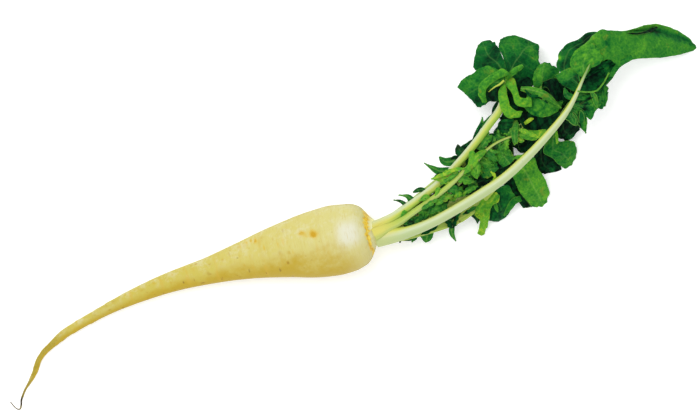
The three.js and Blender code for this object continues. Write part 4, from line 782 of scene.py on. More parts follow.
def add_tube(body, rings, values):
    """Rings of equal count as one closed tube. Each of values is spread over the points of the rings."""
    rings = np.asarray(rings, float)
    count, sides = rings.shape[:2]
    points = np.concatenate([rings.reshape(-1, 3), [rings[0].mean(0)], [rings[-1].mean(0)]])
    closed = {}
    for key, value in values.items():
        full = np.broadcast_to(value, (count, sides))
        closed[key] = np.concatenate([full.ravel(), [full[0].mean()], [full[-1].mean()]])
    body.add(points, ring_faces(count, sides), closed)


def normals_of(grid):
    down = np.gradient(grid, axis=0)
    over = np.gradient(grid, axis=1)
    return unit(np.cross(over, down))


def add_sheet(body, grid, values, relief=0):
    """A closed blade round a grid of points. relief lifts only its upper face, for veins."""
    rows, columns = grid.shape[:2]
    normal = normals_of(grid)
    if normal[..., 2].mean() < 0:
        normal = -normal
    lift = BLADE_SHOWN / 2 + np.broadcast_to(relief, (rows, columns))
    upper = grid + normal * lift[..., None]
    lower = grid - normal * BLADE_SHOWN / 2
    i, j = np.meshgrid(np.arange(rows - 1), np.arange(columns - 1), indexing="ij")
    a = (i * columns + j).ravel()
    top = np.stack([a, a + 1, a + columns + 1, a + columns], 1)
    under = rows * columns
    border = np.concatenate([
        np.arange(columns - 1),
        np.arange(rows - 1) * columns + columns - 1,
        (rows - 1) * columns + np.arange(columns - 1, 0, -1),
        np.arange(rows - 1, 0, -1) * columns,
    ])
    ahead = np.roll(border, -1)
    rim = np.stack([border, border + under, ahead + under, ahead], 1)
    faces = np.concatenate([top, top[:, ::-1] + under, rim])
    doubled = {k: np.tile(np.ravel(np.broadcast_to(v, (rows, columns))), 2) for k, v in values.items()}
    body.add(np.stack([upper, lower]), faces, doubled)


def vein_lines(run, side, length, reach, ribs):
    """How strongly a vein shows at a point of a lobe: most on the midrib, less on side veins that slant to
    the tip."""
    fade = np.clip(1.15 - run / max(length, 1e-6), 0, 1)
    midrib = bell(side, 0.22 + 0.4 * fade) * np.sqrt(fade)
    spacing = np.clip(length / 5, 3.5, 9)
    phase = (run - 0.75 * np.abs(side) + 0.18 * side) / spacing
    nearness = np.abs(phase - np.round(phase)) * spacing
    outward = np.clip(1 - np.abs(side) / max(reach, 1e-6), 0, 1)
    branches = bell(nearness, 0.34) * np.sqrt(outward) * 0.5
    return np.clip(ribs * np.maximum(midrib, branches), 0, 1)


def waves(share, random, count, low, high):
    """A sum of a few sine waves of random phase along a share."""
    total = 0
    for _ in range(count):
        total = total + np.sin(2 * math.pi * (mix(low, high, next(random)) * share + next(random)))
    return total / count


def dress_lobe(body, grid, lobe, random, young):
    """Adds veins, blisters and waved edges to the sheet of a lobe, and its attributes."""
    middle = grid.shape[1] // 2
    run = run_along(grid[:, middle])[:, None]
    across = np.linalg.norm(np.diff(grid, axis=1), axis=2)
    total = np.concatenate([np.zeros((len(grid), 1)), np.cumsum(across, axis=1)], axis=1)
    side = total - total[:, middle:middle + 1]
    run = np.broadcast_to(run, side.shape)
    length = run.max()
    reach = np.abs(side).max()
    v = np.linspace(-1, 1, grid.shape[1])[None, :]
    share = np.linspace(0, 1, grid.shape[0])[:, None]
    rooted = np.clip(share * 5, 0, 1)
    vein = vein_lines(run, side, length, reach, lobe.get("ribs", 1))
    lively = 1.6 if young else 1
    swell = waves(share, random, 3, 1, 3.5) * waves((v + 1) / 2, random, 3, 0.7, 2.2)
    wave = np.where(v < 0, waves(share, random, 3, 2.5, 6.5), waves(share, random, 3, 2.5, 6.5))
    blister = (1 - vein) * BLISTER * np.clip(reach / 8, 0.3, 1)
    # Painted shade in the creases: the tone darkens along each crease and lightens a little on the ridges
    # between.
    crease = 0
    for _ in range(CREASES):
        turn = 2 * math.pi * next(random)
        pitch = mix(3.5, 9, next(random))
        place = (run * math.cos(turn) + side * math.sin(turn)) / pitch + 0.5 * swell + next(random)
        dome = np.abs(np.sin(math.pi * place))
        blister = blister + 0.04 * pitch * (dome - 0.6) * np.clip(reach / 6, 0.3, 1)
        crease = crease + 0.05 * (dome - 0.6) - 0.13 * bell(dome, 0.2)
    rise = swell * SWELL * min(reach, 12) * lively
    rise = rise + wave * np.abs(v) ** 3 * FRILL * min(reach, 11) * lively
    normal = normals_of(grid)
    bent = grid + normal * (rooted * (rise + blister))[..., None]
    bent[..., 2] = np.maximum(bent[..., 2], BLADE_SHOWN / 2 + 0.05)
    from_side = (1 - np.abs(v)) * np.maximum(total[:, -1:] / 2, 0.3)
    rim = np.minimum(from_side, length - run) / lobe.get("rim", 1)
    # Painted light and shade on the tone: the shade profile darkens bands in the lobe's folds, and the
    # patches lighten and darken places, partly as painted light and shade and partly as the leaf's own
    # colour.
    across_shade, along_shade = lobe.get("shade", ([0], [1]))
    shade = along(across_shade, (v + 1) / 2) * along(along_shade, share) + lobe.get("creases", 0.5) * crease
    for x, y, wide, change in lobe.get("patches", []):
        shade = shade + change * np.exp(-(((bent[..., 0] - x) ** 2 + (bent[..., 1] - y) ** 2) / wide**2))
    values = {
        "vein": vein,
        "rim": np.clip(rim, 0, 10),
        "tone": lobe["tone"] + shade + 0 * side,
        "mottle": lobe.get("mottle", 1),
        "edge": lobe.get("edge", 0),
    }
    add_sheet(body, bent, values, relief=VEIN_HEIGHT * vein)


def edge_cut(lobe, share, random):
    """How far the edge is notched in at each share of the lobe, for the two sides."""
    notches, depth = lobe.get("teeth", (0, 0))
    large = depth * (1 - np.abs(np.sin(math.pi * notches * share))) if notches else 0 * share
    cuts = []
    for _ in range(2):
        jag = np.abs(waves(share, random, 2, 7, 13)) * 0.03 + np.abs(waves(share, random, 2, 3, 5)) * 0.02
        cuts.append(large + lobe.get("jag", 1) * jag * np.clip(share * 4, 0, 1))
    return cuts


def size_of(points):
    return np.linalg.norm(np.diff(np.asarray(points, float), axis=0), axis=1).sum()


def rows_grid(lobe, start, cell, random):
    """The sheet of a lobe given by rows of points, smooth both ways."""
    rows = [np.asarray(row, float) for row in lobe["rows"]]
    first = rows[0]
    reach = unit(first[-1] - first[0]) * lobe["base"]
    base = np.array([start + reach * (2 * k / (len(first) - 1) - 1) for k in range(len(first))])
    rows = [base] + rows
    length = size_of([row.mean(0) for row in rows])
    width = max(size_of(row) for row in rows)
    steps = int(np.clip(length / cell, 12, 110))
    columns = 2 * int(np.clip(width / cell / 2, 5, 32))
    share = np.linspace(0, 1, steps + 1)
    v = np.linspace(-1, 1, columns + 1)
    left, right = edge_cut(lobe, share, random)
    cut = np.where(v[None, :] < 0, left[:, None], right[:, None])
    place = (v * (1 - cut * v**2) + 1) / 2
    across = np.stack([spline(row, place.ravel()) for row in rows])
    grid = np.empty((steps + 1, columns + 1, 3))
    across = across.reshape(len(rows), steps + 1, columns + 1, 3)
    for i in range(steps + 1):
        grid[i] = spline(across[:, i], share[i])[0]
    height, waves_count = lobe.get("ruffle", (0, 0))
    turn = 2 * math.pi * waves_count * share[:, None] + 2 * np.sign(v)
    grid[..., 2] += height * share[:, None] * v**2 * np.sin(turn)
    return grid


def outline_at(outline, share):
    base, widest, drawn = outline
    grow = mix(base, 1, np.sin(math.pi / 2 * np.clip(share / widest, 0, 1)))
    shrink = np.maximum(1 - ((share - widest) / (1 - widest)) ** 2, 0) ** drawn
    return np.where(share < widest, grow, shrink)


def spine_grid(lobe, start, cell, random):
    """The sheet of a lobe given by its spine."""
    spine = np.concatenate([start, np.asarray(lobe["spine"], float)])
    half = lobe["half"]
    steps = int(np.clip(size_of(spine) / cell, 12, 80))
    columns = 2 * int(np.clip(sum(half) / cell / 2, 4, 20))
    even = np.linspace(0, 1, steps + 1)
    share = np.sin(math.pi / 2 * even)
    centre, _, side, normal = frames(spine, share)
    width = outline_at(lobe["outline"], share)
    v = np.linspace(-1, 1, columns + 1)
    left, right = edge_cut(lobe, even, random)
    curl = lobe.get("curl", (0, 0))
    height, waves_count = lobe.get("ruffle", (0, 0))
    grid = np.empty((steps + 1, columns + 1, 3))
    for j, across in enumerate(v):
        hand = 0 if across < 0 else 1
        cut = (left, right)[hand]
        reach = np.maximum(half[hand] * width * (1 - 2.2 * cut * abs(across)), NARROWEST) * across
        turn = max(abs(math.radians(curl[hand]) * across), 1e-6)
        out = reach * math.sin(turn) / turn
        rise = np.sign(curl[hand]) * np.abs(reach) * (1 - math.cos(turn)) / turn
        wave = height * share * across**2 * np.sin(2 * math.pi * waves_count * share + 2 * hand)
        grid[:, j] = centre + side * out[:, None] + normal * (rise + wave)[:, None]
    return grid


def leaving(leaf, at, hand, turn):
    """A point of the green strip, and the direction that leaves it on one hand at a turn from the stalk."""
    _, tangent, side, _ = (value[0] for value in frames(leaf["stalk"], at))
    return wing_at(leaf, at)[0][0], tangent * math.cos(turn) + side * hand * math.sin(turn)


def leaflet_lobes(leaf):
    """The small leaflets of a young leaf, each a little different, where the part has them."""
    rule = leaf["leaflets"]
    random = lehmer(rule["seed"])
    tones = lehmer(rule["seed"] + 1)
    made = []
    for k in range(rule["count"]):
        at = mix(rule["from"], rule["to"], (k + 0.6 * next(random)) / rule["count"])
        hand = rule["sides"][k % len(rule["sides"])]
        turn = math.radians(rule["lean"] + 24 * (next(random) - 0.5))
        point, out = leaving(leaf, at, hand, turn)
        reach = mix(*rule["length"], next(random))
        knee = point + out * reach / 2 + UP * rule["rise"] * (next(random) - 0.5)
        tip = point + out * reach - UP * mix(*rule["sink"], next(random))
        made.append(tongue(
            at, mix(0.4, 0.75, next(tones)), rule["half"], LEAFLET, [knee, tip],
            ruffle=(1.6, 2), teeth=(4, 0.2), rim=1.3, ribs=0.5,
        ))
    return made


def frill_lobes(leaf):
    """Small curled lobes between a young leaf's leaflets, darker the lower they lie, as painted shade under
    the leaves above.
    """
    rule = leaf["frills"]
    random = lehmer(rule["seed"])
    made = []
    for k in range(rule["count"]):
        at = mix(rule["from"], rule["to"], (k + next(random)) / rule["count"])
        hand = rule["sides"][k % len(rule["sides"])]
        point, out = leaving(leaf, at, hand, math.radians(mix(25, 115, next(random))))
        reach = mix(*rule["length"], next(random))
        drop = mix(*rule["drop"], next(random))
        bend = np.cross(UP, out) * mix(-0.35, 0.35, next(random)) * reach
        half = mix(*rule["half"], next(random))
        height = (drop - rule["drop"][0]) / (rule["drop"][1] - rule["drop"][0])
        tone = mix(0.75, 0.08, height) + 0.2 * (next(random) - 0.5)
        sides = (half, half * mix(0.6, 1.2, next(random)))
        spine = [point + out * reach * 0.5 + bend - UP * drop * 0.6, point + out * reach - UP * drop]
        made.append(tongue(
            at, tone, sides, (0.45, 0.55, 0.6), spine,
            ruffle=(mix(0.8, 2, next(random)), mix(1.5, 3.5, next(random))),
            teeth=(mix(3, 5, next(random)), mix(0.2, 0.36, next(random))), rim=1.5, ribs=0.5,
        ))
    return made


def blade_piece(name, leaf, material):
    """All that is leaf on one stalk: the green strip along it and the lobes that leave the strip."""
    body = Body()
    random = lehmer(SEEDS[name])
    young = leaf.get("young", False)
    cell = YOUNG_CELL if young else CELL
    lobes = leaf["lobes"] + (leaflet_lobes(leaf) if "leaflets" in leaf else [])
    lobes += frill_lobes(leaf) if "frills" in leaf else []
    first = min(lobe["at"] for lobe in lobes) - 0.01
    point, lateral = wing_at(leaf, np.linspace(first, 1, STALK_STEPS))
    strip = point[:, None] - lateral[:, None] * (WING * np.linspace(-1, 1, 5))[None, :, None]
    plain = {"vein": 0.0, "rim": 3.0, "tone": 0.45, "mottle": 1.0, "edge": 0.0}
    add_sheet(body, strip, plain)
    for lobe in lobes:
        start = [np.array(lobe["start"], float) if "start" in lobe else wing_at(leaf, lobe["at"])[0][0]]
        if lobe.get("under"):
            centre, _, _, _, _, deep = stalk_frames(leaf, lobe["at"])
            start.append(centre[0] - UP * (deep[0] + GAP + BLADE))
        if "rows" in lobe:
            grid = rows_grid(lobe, start[0], cell, random)
        else:
            grid = spine_grid(lobe, start, cell, random)
        dress_lobe(body, grid, lobe, random, young)
    return body.mesh(name + "_blade", material, 50)


def stalk_piece(name, leaf, material):
    """A leaf stalk with its channel, its long ribs, the groove that shows and a rounded end."""
    body = Body()
    random = lehmer(SEEDS[name] + 1)
    look = STALK_LOOKS[name]
    share = np.linspace(0, 1, STALK_STEPS + 1)
    centre, _, face, lateral, half, deep = stalk_frames(leaf, share)
    _, _, side, _ = frames(leaf["stalk"], share)
    ending = np.sqrt(np.clip((1.0008 - share) / 0.02, 0, 1))
    turn = 2 * math.pi * np.arange(STALK_SIDES) / STALK_SIDES
    ribs = 0.5 * np.cos(11 * turn) + 0.5 * np.cos(17 * turn + 1)
    run = run_along(centre)
    across = np.cos(turn)[None, :] * (half * ending)[:, None]
    wider, place, reach = look.get("sheath", (0, 0, 1))
    one_flank = np.maximum(np.cos(turn) * np.sign(wider), 0)
    across = across + np.outer(wider * bell(run - place, reach), one_flank)
    height = np.sin(turn)[None, :] * (deep * ending)[:, None]
    height = np.minimum(height, (CHANNEL * deep * ending)[:, None])
    scale = 1 + STALK_RIBS * ribs[None, :] + STALK_LUMPS * waves(share, random, 3, 2, 9)[:, None]
    offset = across[..., None] * lateral[:, None] + height[..., None] * face[:, None]
    flank = np.einsum("ijk,ik->ij", offset, side) / np.maximum(half * ending, 1e-6)[:, None]
    green = look["hand"] * flank + look["shift"] + look["rise"] * share[:, None]
    groove = bell(green - 0.55, 0.3) * look["groove"]
    rings = centre[:, None] + offset * (scale - STALK_GROOVE * groove)[..., None]
    values = {
        "green": green,
        "run": run[:, None],
        "share": share[:, None],
        "round": turn,
        "tint": look["tint"],
    }
    add_tube(body, rings, values)
    for twig in look.get("twigs", []):
        add_twig(body, twig, look["tint"])
    return body.mesh(name + "_stalk", material, 60)


def add_twig(body, points, tint):
    """A short tapered side rib."""
    share = np.linspace(0, 1, TWIG_RINGS)
    centre, _, side, normal = frames(points, share)
    turn = 2 * math.pi * np.arange(TWIG_SIDES) / TWIG_SIDES
    radius = TWIG_RADIUS * np.sqrt(np.clip(1.02 - share, 0, 1))[:, None, None]
    spokes = side[:, None] * np.cos(turn)[None, :, None]
    spokes = spokes + 0.6 * normal[:, None] * np.sin(turn)[None, :, None]
    values = {"green": 0.6, "run": 60.0, "share": 0.3, "round": 0.0, "tint": tint}
    add_tube(body, centre[:, None] + radius * spokes, values)


def root_marks(run, turn, random):
    """Grooves in rows where side roots were, faint rings, and small steps. Gives relief and colour."""
    relief = np.zeros((len(run), len(turn)))
    colour = np.zeros_like(relief)
    for k in range(MARKS):
        row = MARK_ROWS[k % len(MARK_ROWS)]
        place = mix(*MARK_REACH, next(random))
        at = math.radians(row + 26 * (next(random) - 0.5))
        long = mix(0.05, 0.16, next(random) ** 1.5)
        wide = mix(0.5, 1.1, next(random))
        deep = mix(0.05, 0.3, next(random) ** 2)
        shape = np.outer(bell(run - place, wide), bell(apart(turn, at), long))
        relief -= deep * shape
        colour = np.maximum(colour, shape * mix(0.35, 1, next(random)))
    for _ in range(RINGS):
        place = mix(*RING_REACH, next(random))
        at = 2 * math.pi * next(random)
        shape = np.outer(bell(run - place, 0.8), bell(apart(turn, at), 1.1))
        relief -= 0.07 * shape
        colour = np.maximum(colour, 0.12 * shape)
    for _ in range(KNOBS):
        past = run - mix(*KNOB_REACH, next(random))
        at = 2 * math.pi * next(random)
        slope = np.where(past < 0, bell(past, 0.9), bell(past, 4.5))
        relief += np.outer(mix(0.15, 0.42, next(random)) * slope, bell(apart(turn, at), 0.9))
    return relief, colour


def root_piece(material):
    """The root with its neck: rings along its curve, with lumps, marks, scars and the corky ring."""
    body = Body()
    random = lehmer(SEEDS["root"])
    table = np.array(ROOT)
    dense = np.linspace(0, 1, 4000)
    length = run_along(spline(table[:, :3], dense))
    run = np.linspace(0, length[-1], int(length[-1] / ROOT_STEP))
    share = np.interp(run, length, dense)
    centre, _, side, normal = frames(table[:, :3], share)
    radius = np.maximum(spline(table[:, 3], share), 0.25)
    turn = 2 * math.pi * (np.arange(ROOT_SIDES) + 0.5) / ROOT_SIDES - math.pi / 2
    scar_run = np.interp(SCAR_RING / (len(ROOT) - 1), dense, length)
    ring = bell(run - scar_run, 1.6)
    ragged = waves(turn / (2 * math.pi), random, 4, 9, 30)
    bumps = SCAR_HEIGHT * np.cos(SCARS * turn) + RAGGED * ragged
    relief, colour = root_marks(run, turn, random)
    lumps = waves(run / 300, random, 4, 3, 12)[:, None] * np.cos(turn + 1)[None, :]
    relief = relief + lumps * ROOT_LUMPS * radius[:, None] + ring[:, None] * bumps[None, :]
    ribs = np.cos(9 * turn + 0.6) + 0.5 * np.cos(14 * turn)
    relief = relief + NECK_RIBS * np.clip((run - scar_run - 1) / 3, 0, 1)[:, None] * ribs[None, :]
    reach = radius[:, None] + np.minimum(relief, 0.6 * radius[:, None])
    rings = centre[:, None] + side[:, None] * (reach * np.cos(turn))[..., None]
    rings = rings + normal[:, None] * (reach * np.sin(turn))[..., None]
    scar = np.zeros_like(reach)
    brown = np.zeros_like(reach)
    for x, y, long, wide, deep, orange, dark in SCAR_SPOTS:
        run_off = (rings[..., 0] - x) * ROOT_WAY[0] + (rings[..., 1] - y) * ROOT_WAY[1]
        side_off = (rings[..., 0] - x) * ROOT_WAY[1] - (rings[..., 1] - y) * ROOT_WAY[0]
        on_top = rings[..., 2] > centre[:, None, 2]
        shape = np.exp(-((run_off / long) ** 2) - (side_off / wide) ** 2) * on_top
        scar = np.maximum(scar, shape * orange)
        brown = np.maximum(brown, shape * dark)
        rings[..., 2] -= deep * shape
    rings[..., 2] = np.maximum(rings[..., 2], 0)
    off_ring = run[:, None] - scar_run - 0.3 - 0.9 * ragged[None, :]
    values = {
        "run": run[:, None] / length[-1],
        "round": turn,
        "mark": colour,
        "scar": scar,
        "brown": brown,
        "crown": bell(off_ring, mix(2, 1, (np.cos(turn) + 1) / 2)[None, :]),
        "neck": np.clip((run - scar_run - 1.5) / 2, 0, 1)[:, None],
        "flank": np.cos(turn),
        "up": np.sin(turn),
    }
    add_tube(body, rings, values)
    return body.mesh("root_skin", material, 60)


def linear(red, green, blue):
    """A colour as seen on a screen, 0 to 255, as the surface colour that gives it in this light."""
    shares = [value / 255 for value in (red, green, blue)]
    light = [s / 12.92 if s < 0.04045 else ((s + 0.055) / 1.055) ** 2.4 for s in shares]
    return (*(min(value / EXPOSED, 1) for value in light), 1)


# From tone 0 to 1. The near-black lowest stops give the painted shade of lobes that lie under others.
LEAF_TONES = [
    (0, linear(4, 22, 14)), (0.12, linear(7, 58, 28)), (0.26, linear(14, 94, 38)),
    (0.42, linear(36, 118, 40)), (0.58, linear(60, 136, 42)), (0.74, linear(86, 162, 44)),
    (0.88, linear(112, 176, 42)), (1, linear(164, 198, 52)),
]


class Paint:
    """A material and short ways to wire its nodes. A socket is given a number, a colour or an output."""

    def __init__(self, name, roughness, specular):
        self.material = bpy.data.materials.new(name)
        self.material.use_nodes = True
        self.tree = self.material.node_tree
        self.shader = self.tree.nodes["Principled BSDF"]
        self.shader.inputs["Roughness"].default_value = roughness
        self.shader.inputs["Specular IOR Level"].default_value = specular

    def node(self, kind, output=0, inputs=None, **settings):
        made = self.tree.nodes.new("ShaderNode" + kind)
        for key, value in settings.items():
            setattr(made, key, value)
        for key, value in (inputs or {}).items():
            if isinstance(value, bpy.types.NodeSocket):
                self.tree.links.new(value, made.inputs[key])
            else:
                made.inputs[key].default_value = value
        return made.outputs[output]

    def value(self, name):
        return self.node("Attribute", "Fac", attribute_name=name)

    def math(self, operation, a, b=0.0):
        return self.node("Math", inputs={0: a, 1: b}, operation=operation)

    def sum(self, a, b):
        return self.math("ADD", a, b)

    def times(self, a, b):
        return self.math("MULTIPLY", a, b)

    def span(self, value, low, high, start=0.0, end=1.0):
        """value from low to high as a smooth step from start to end."""
        inputs = {"Value": value, "From Min": low, "From Max": high, "To Min": start, "To Max": end}
        return self.node("MapRange", inputs=inputs, interpolation_type="SMOOTHSTEP")

    def sway(self, value, strength):
        """A value from 0 to 1 as a change down or up."""
        return self.times(self.sum(value, -0.5), strength)

    def blend(self, share, a, b):
        return self.node("Mix", 2, inputs={0: share, 6: a, 7: b}, data_type="RGBA")

    def lay(self, colour, share, red, green, blue):
        """A second colour over the first, as strong as share."""
        return self.blend(share, colour, linear(red, green, blue))

    def place(self):
        return self.node("TexCoord", "Object")

    def noise(self, scale, detail=3.0, roughness=0.55, at=None):
        inputs = {"Vector": at or self.place(), "Scale": scale, "Detail": detail, "Roughness": roughness}
        return self.node("TexNoise", "Fac", inputs=inputs)

    def cells(self, scale, feature="F1"):
        """Distance to the nearest of scattered points, or to the edge of its cell."""
        inputs = {"Vector": self.place(), "Scale": scale, "Randomness": 1.0}
        return self.node("TexVoronoi", "Distance", inputs=inputs, feature=feature)

    def ramp(self, share, stops):
        made = self.tree.nodes.new("ShaderNodeValToRGB")
        self.tree.links.new(share, made.inputs[0])
        elements = made.color_ramp.elements
        while len(elements) < len(stops):
            elements.new(0.5)
        for element, (place, colour) in zip(elements, stops):
            element.position = place
            element.color = colour
        return made.outputs[0]

    def finish(self, colour, bump=None, depth=0.1, strength=0.5):
        self.tree.links.new(colour, self.shader.inputs["Base Color"])
        if bump is not None:
            inputs = {"Height": bump, "Distance": depth * MM, "Strength": strength}
            self.tree.links.new(self.node("Bump", inputs=inputs), self.shader.inputs["Normal"])
        return self.material


def leaf_paint(name, gloss):
    """Leaf blade: a tone for each lobe, carrying painted light and shade, mottled, netted with veins,
    blotched and pale at some edges.
    """
    paint = Paint(name, 0.6, gloss)
    base = paint.value("tone")
    lively = paint.times(paint.span(base, 0, 0.45, 0.22, 1), paint.value("mottle"))
    varied = paint.sway(paint.noise(190, 4, 0.7), 0.55)
    varied = paint.sum(varied, paint.sway(paint.noise(560, 2), 0.3))
    varied = paint.sum(varied, paint.sway(paint.noise(46, 2), 0.5))
    web = paint.cells(360, "DISTANCE_TO_EDGE")
    varied = paint.sum(varied, paint.span(web, 0, 0.2, 0.07, -0.03))
    some = paint.math("MAXIMUM", paint.span(paint.noise(52, 2), 0.46, 0.66, 0, 0.7), paint.value("edge"))
    rim = paint.times(paint.span(paint.value("rim"), 0.1, 0.8, 0.12, 0), some)
    vein = paint.value("vein")
    tone = paint.sum(paint.sum(base, paint.times(lively, varied)), rim)
    tone = paint.sum(tone, paint.times(vein, 0.16))
    colour = paint.ramp(tone, LEAF_TONES)
    colour = paint.lay(colour, paint.times(vein, paint.span(tone, 0.1, 0.7, 0.14, 0.34)), 166, 198, 112)
    pale = paint.times(paint.span(paint.value("rim"), 0.05, 0.5, 1, 0), paint.times(some, 0.42))
    colour = paint.lay(colour, pale, 140, 186, 84)
    blotch = paint.times(paint.span(paint.noise(150, 2), 0.6, 0.74), paint.span(tone, 0.3, 0.6, 0, 0.6))
    colour = paint.lay(colour, blotch, 126, 146, 44)
    height = paint.sum(paint.times(web, 0.8), paint.times(paint.noise(700, 2), 0.5))
    return paint.finish(colour, height, 0.4, 0.7)


def stalk_paint():
    """Stalk: near white, yellow-green on one flank and towards the blade, with streaks and brown specks."""
    paint = Paint("stalk_skin", 0.38, 0.22)
    run = paint.value("run")
    turn = paint.value("round")
    long = paint.node("CombineXYZ", inputs={0: paint.times(run, 0.02), 1: turn, 2: paint.value("tint")})
    streak = paint.noise(5, 3, 0.6, at=long)
    green = paint.sum(paint.value("green"), paint.sway(streak, 0.5))
    colour = paint.ramp(paint.span(green, -1, 1.1), [
        (0, linear(188, 206, 146)), (0.25, linear(208, 221, 178)), (0.5, linear(204, 217, 150)),
        (0.66, linear(206, 214, 110)), (0.82, linear(192, 207, 80)), (1, linear(146, 182, 60)),
    ])
    leafy = paint.ramp(streak, [(0.3, linear(150, 184, 66)), (0.7, linear(190, 210, 94))])
    colour = paint.blend(paint.value("tint"), colour, leafy)
    base = paint.times(paint.span(run, 3, 26, 0.85, 0), paint.span(green, -0.9, 0.5, 0.25, 1))
    colour = paint.lay(colour, base, 226, 214, 106)
    end = paint.times(paint.span(paint.value("share"), 0.86, 0.97), 0.75)
    colour = paint.lay(colour, end, 92, 150, 52)
    specks = paint.cells(150)
    few = paint.times(paint.span(paint.noise(70, 1), 0.5, 0.6), paint.span(green, 0, 0.5, 0.15, 1))
    dots = paint.times(paint.span(specks, 0.06, 0.15, 1, 0), few)
    colour = paint.lay(colour, paint.times(dots, 0.85), 104, 82, 26)
    return paint.finish(colour, paint.sum(streak, paint.times(paint.noise(900, 2), 0.2)), 0.3, 0.6)


def root_paint():
    """Root skin: white at the crown to straw yellow at the tip, mottled and ringed, with brown scars, a
    painted highlight and painted shade.
    """
    paint = Paint("root_skin", 0.5, 0.08)
    run = paint.value("run")
    flank = paint.value("flank")
    turned = paint.times(paint.value("round"), 1.5)
    around = paint.node("CombineXYZ", inputs={0: paint.times(run, 300), 1: turned, 2: 0.0})
    bands = paint.noise(0.55, 3, 0.6, at=around)
    mottle = paint.noise(38, 4, 0.6)
    patchy = paint.noise(120, 4, 0.7)
    place = paint.sum(run, paint.sway(bands, 0.16))
    place = paint.sum(place, paint.sway(mottle, 0.4))
    colour = paint.ramp(place, [
        (0, linear(146, 124, 42)), (0.12, linear(172, 152, 50)), (0.3, linear(204, 190, 92)),
        (0.5, linear(206, 192, 88)), (0.7, linear(214, 202, 112)), (0.86, linear(218, 210, 134)),
        (1, linear(224, 221, 168)),
    ])
    # Pale patches, partly the skin's own mottling and partly painted light, as they are stronger on the
    # left flank that faces the lamp; a painted highlight along the top of the shoulder; and painted shade
    # that turns the right flank, away from the lamp, yellower.
    pale = paint.times(paint.span(patchy, 0.46, 0.66, 0, 0.55), paint.span(flank, -0.7, 0.4, 1, 0.2))
    colour = paint.lay(colour, pale, 225, 221, 174)
    # Painted highlight: a pale band along the top of the shoulder.
    painted_highlight_band = paint.times(paint.span(run, 0.885, 0.915), paint.span(run, 0.93, 0.96, 1, 0))
    highlight_across = paint.span(paint.math("ABSOLUTE", paint.sum(flank, 0.12)), 0.1, 0.6, 0.85, 0)
    colour = paint.lay(colour, paint.times(painted_highlight_band, highlight_across), 231, 231, 212)
    # Painted shade: the right flank, away from the lamp, mottled darker yellow.
    shaded_flank_yellow = paint.sum(flank, paint.sway(mottle, 1.6))
    shaded_flank_yellow = paint.sum(shaded_flank_yellow, paint.sway(patchy, 1.2))
    shaded_flank_yellow = paint.times(paint.span(shaded_flank_yellow, -0.1, 0.85, 0, 0.9), paint.span(run, 0.88, 0.95, 1, 0.3))
    colour = paint.lay(colour, shaded_flank_yellow, 197, 167, 44)
    # Smudges and fine lines round the root.
    smudge = paint.span(paint.noise(0.22, 3, 0.65, at=around), 0.53, 0.68, 0, 0.6)
    smudge = paint.times(smudge, paint.span(mottle, 0.4, 0.6))
    colour = paint.lay(colour, paint.times(smudge, paint.span(run, 0.8, 0.9, 1, 0.2)), 214, 180, 72)
    fine = paint.noise(2.2, 2, 0.6, at=around)
    colour = paint.lay(colour, paint.span(fine, 0.54, 0.7, 0, 0.45), 204, 178, 78)
    # The grooves where side roots were, and painted shade that darkens the sides and underside.
    patch = paint.times(paint.span(patchy, 0.25, 0.55, 0.2, 1), paint.value("mark"))
    groove = paint.ramp(mottle, [(0.4, linear(176, 138, 46)), (0.56, linear(206, 172, 62))])
    colour = paint.blend(patch, colour, groove)
    dark = paint.times(paint.span(paint.value("mark"), 0.3, 0.8), paint.span(flank, 0.2, 0.6, 0, 0.85))
    colour = paint.lay(colour, dark, 146, 110, 38)
    # Painted shade: darker olive towards the sides and underside.
    under = paint.sum(paint.value("up"), paint.sway(mottle, 0.3))
    colour = paint.lay(colour, paint.span(under, -0.25, 0.42, 0.75, 0), 172, 158, 84)
    # Scars with a yellow halo, the neck and the torn corky ring.
    rough = paint.noise(300, 3, 0.6)
    halo = paint.span(paint.sum(paint.value("scar"), paint.sway(rough, 0.7)), 0.12, 0.7, 0, 0.75)
    colour = paint.lay(colour, halo, 218, 186, 72)
    scar = paint.span(paint.sum(paint.value("scar"), paint.sway(rough, 1.1)), 0.5, 0.95, 0, 0.9)
    colour = paint.lay(colour, scar, 204, 158, 30)
    brown = paint.span(paint.sum(paint.value("brown"), paint.sway(rough, 0.8)), 0.3, 0.8, 0, 0.8)
    colour = paint.lay(colour, brown, 140, 108, 48)
    neck = paint.times(paint.value("neck"), paint.span(rough, 0.25, 0.6, 0.8, 1))
    pale = paint.ramp(bands, [(0.3, linear(250, 240, 160)), (0.7, linear(244, 246, 200))])
    colour = paint.blend(neck, colour, pale)
    crown = paint.span(paint.sum(paint.value("crown"), paint.sway(rough, 1.3)), 0.3, 0.8)
    torn = paint.ramp(rough, [
        (0.35, linear(190, 140, 36)), (0.5, linear(244, 200, 44)), (0.65, linear(250, 224, 96)),
    ])
    colour = paint.blend(paint.times(crown, 0.92), colour, torn)
    # Brown specks.
    specks = paint.cells(210)
    few = paint.span(paint.noise(45, 2), 0.5, 0.62)
    dots = paint.times(paint.span(specks, 0.05, 0.17, 1, 0), few)
    colour = paint.lay(colour, paint.times(dots, 0.35), 158, 112, 42)
    # The thin end: darker, then black, then the dry hair.
    tip = paint.times(paint.span(run, 0.05, 0.11, 1, 0), paint.span(patchy, 0.3, 0.6, 0.4, 0.8))
    colour = paint.lay(colour, tip, 118, 106, 44)
    black = paint.times(paint.span(run, 0.032, 0.04), paint.span(run, 0.052, 0.06, 1, 0))
    colour = paint.lay(colour, paint.times(black, 0.9), 44, 38, 24)
    hair = paint.span(run, 0.026, 0.032, 0.9, 0)
    colour = paint.lay(colour, hair, 112, 100, 70)
    height = paint.sum(paint.times(bands, 0.7), paint.times(paint.noise(600, 3), 0.35))
    return paint.finish(colour, height, 0.35, 0.6)


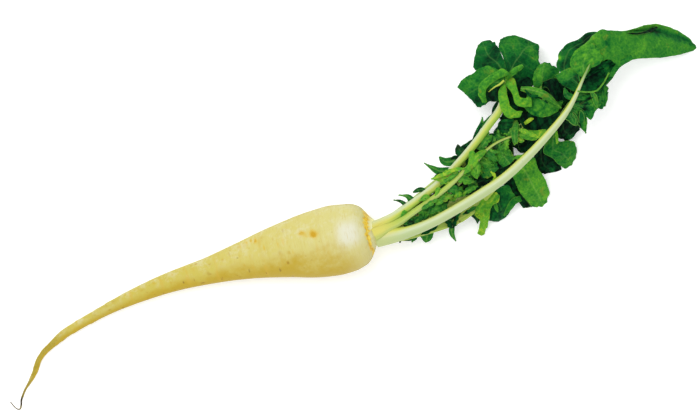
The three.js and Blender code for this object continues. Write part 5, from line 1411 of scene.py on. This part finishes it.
def make_stage():
    """Pale floor and soft white light from all round and from above."""
    bpy.ops.mesh.primitive_plane_add(size=12, location=(0, 0, -0.0002))
    floor = bpy.context.object
    floor.name = "floor"
    paint = Paint("floor_paint", 0.9, 0.0)
    paint.shader.inputs["Emission Color"].default_value = (1, 1, 1, 1)
    paint.shader.inputs["Emission Strength"].default_value = FLOOR_GLOW
    cloudy = paint.blend(paint.noise(3, 2), (0.93, 0.93, 0.93, 1), (0.95, 0.95, 0.95, 1))
    floor.data.materials.append(paint.finish(cloudy))
    world = bpy.data.worlds.new("soft_room")
    world.use_nodes = True
    world.node_tree.nodes["Background"].inputs["Color"].default_value = (1, 1, 1, 1)
    world.node_tree.nodes["Background"].inputs["Strength"].default_value = ROOM_LIGHT
    bpy.context.scene.world = world
    light = bpy.data.lights.new("key", "AREA")
    light.shape = "DISK"
    light.size = KEY_SIZE
    light.energy = KEY_WATTS
    lamp = bpy.data.objects.new("key", light)
    lamp.location = KEY_AT
    lamp.rotation_mode = "QUATERNION"
    toward = mathutils.Vector(KEY_AT) - mathutils.Vector(LIT_POINT)
    lamp.rotation_quaternion = toward.to_track_quat("Z", "Y")
    bpy.context.scene.collection.objects.link(lamp)


def make_camera():
    camera = bpy.data.objects.new("camera", bpy.data.cameras.new("camera"))
    camera.data.lens = CAMERA_LENS
    camera.data.sensor_width = SENSOR
    camera.location = CAMERA_AT
    camera.rotation_euler = (0, 0, math.radians(CAMERA_TURN))
    bpy.context.scene.collection.objects.link(camera)
    bpy.context.scene.camera = camera
    bpy.context.scene.view_settings.view_transform = "Standard"


make_camera()
make_stage()

blade_material = leaf_paint("leaf_blade", 0.03)
young_material = leaf_paint("young_leaf_blade", 0.05)
stalk_material = stalk_paint()

root = root_piece(root_paint())
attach(root, "root")
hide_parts("root")

for name, leaf in LEAVES.items():
    young = leaf.get("young", False)
    stalk = stalk_piece(name, leaf, stalk_material)
    blade = blade_piece(name, leaf, young_material if young else blade_material)
    for piece, node, slot in ((stalk, "stalk", "stalk"), (blade, "blade", "leaf")):
        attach(piece, "root")
        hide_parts(f"{name}_leaf_{node}")
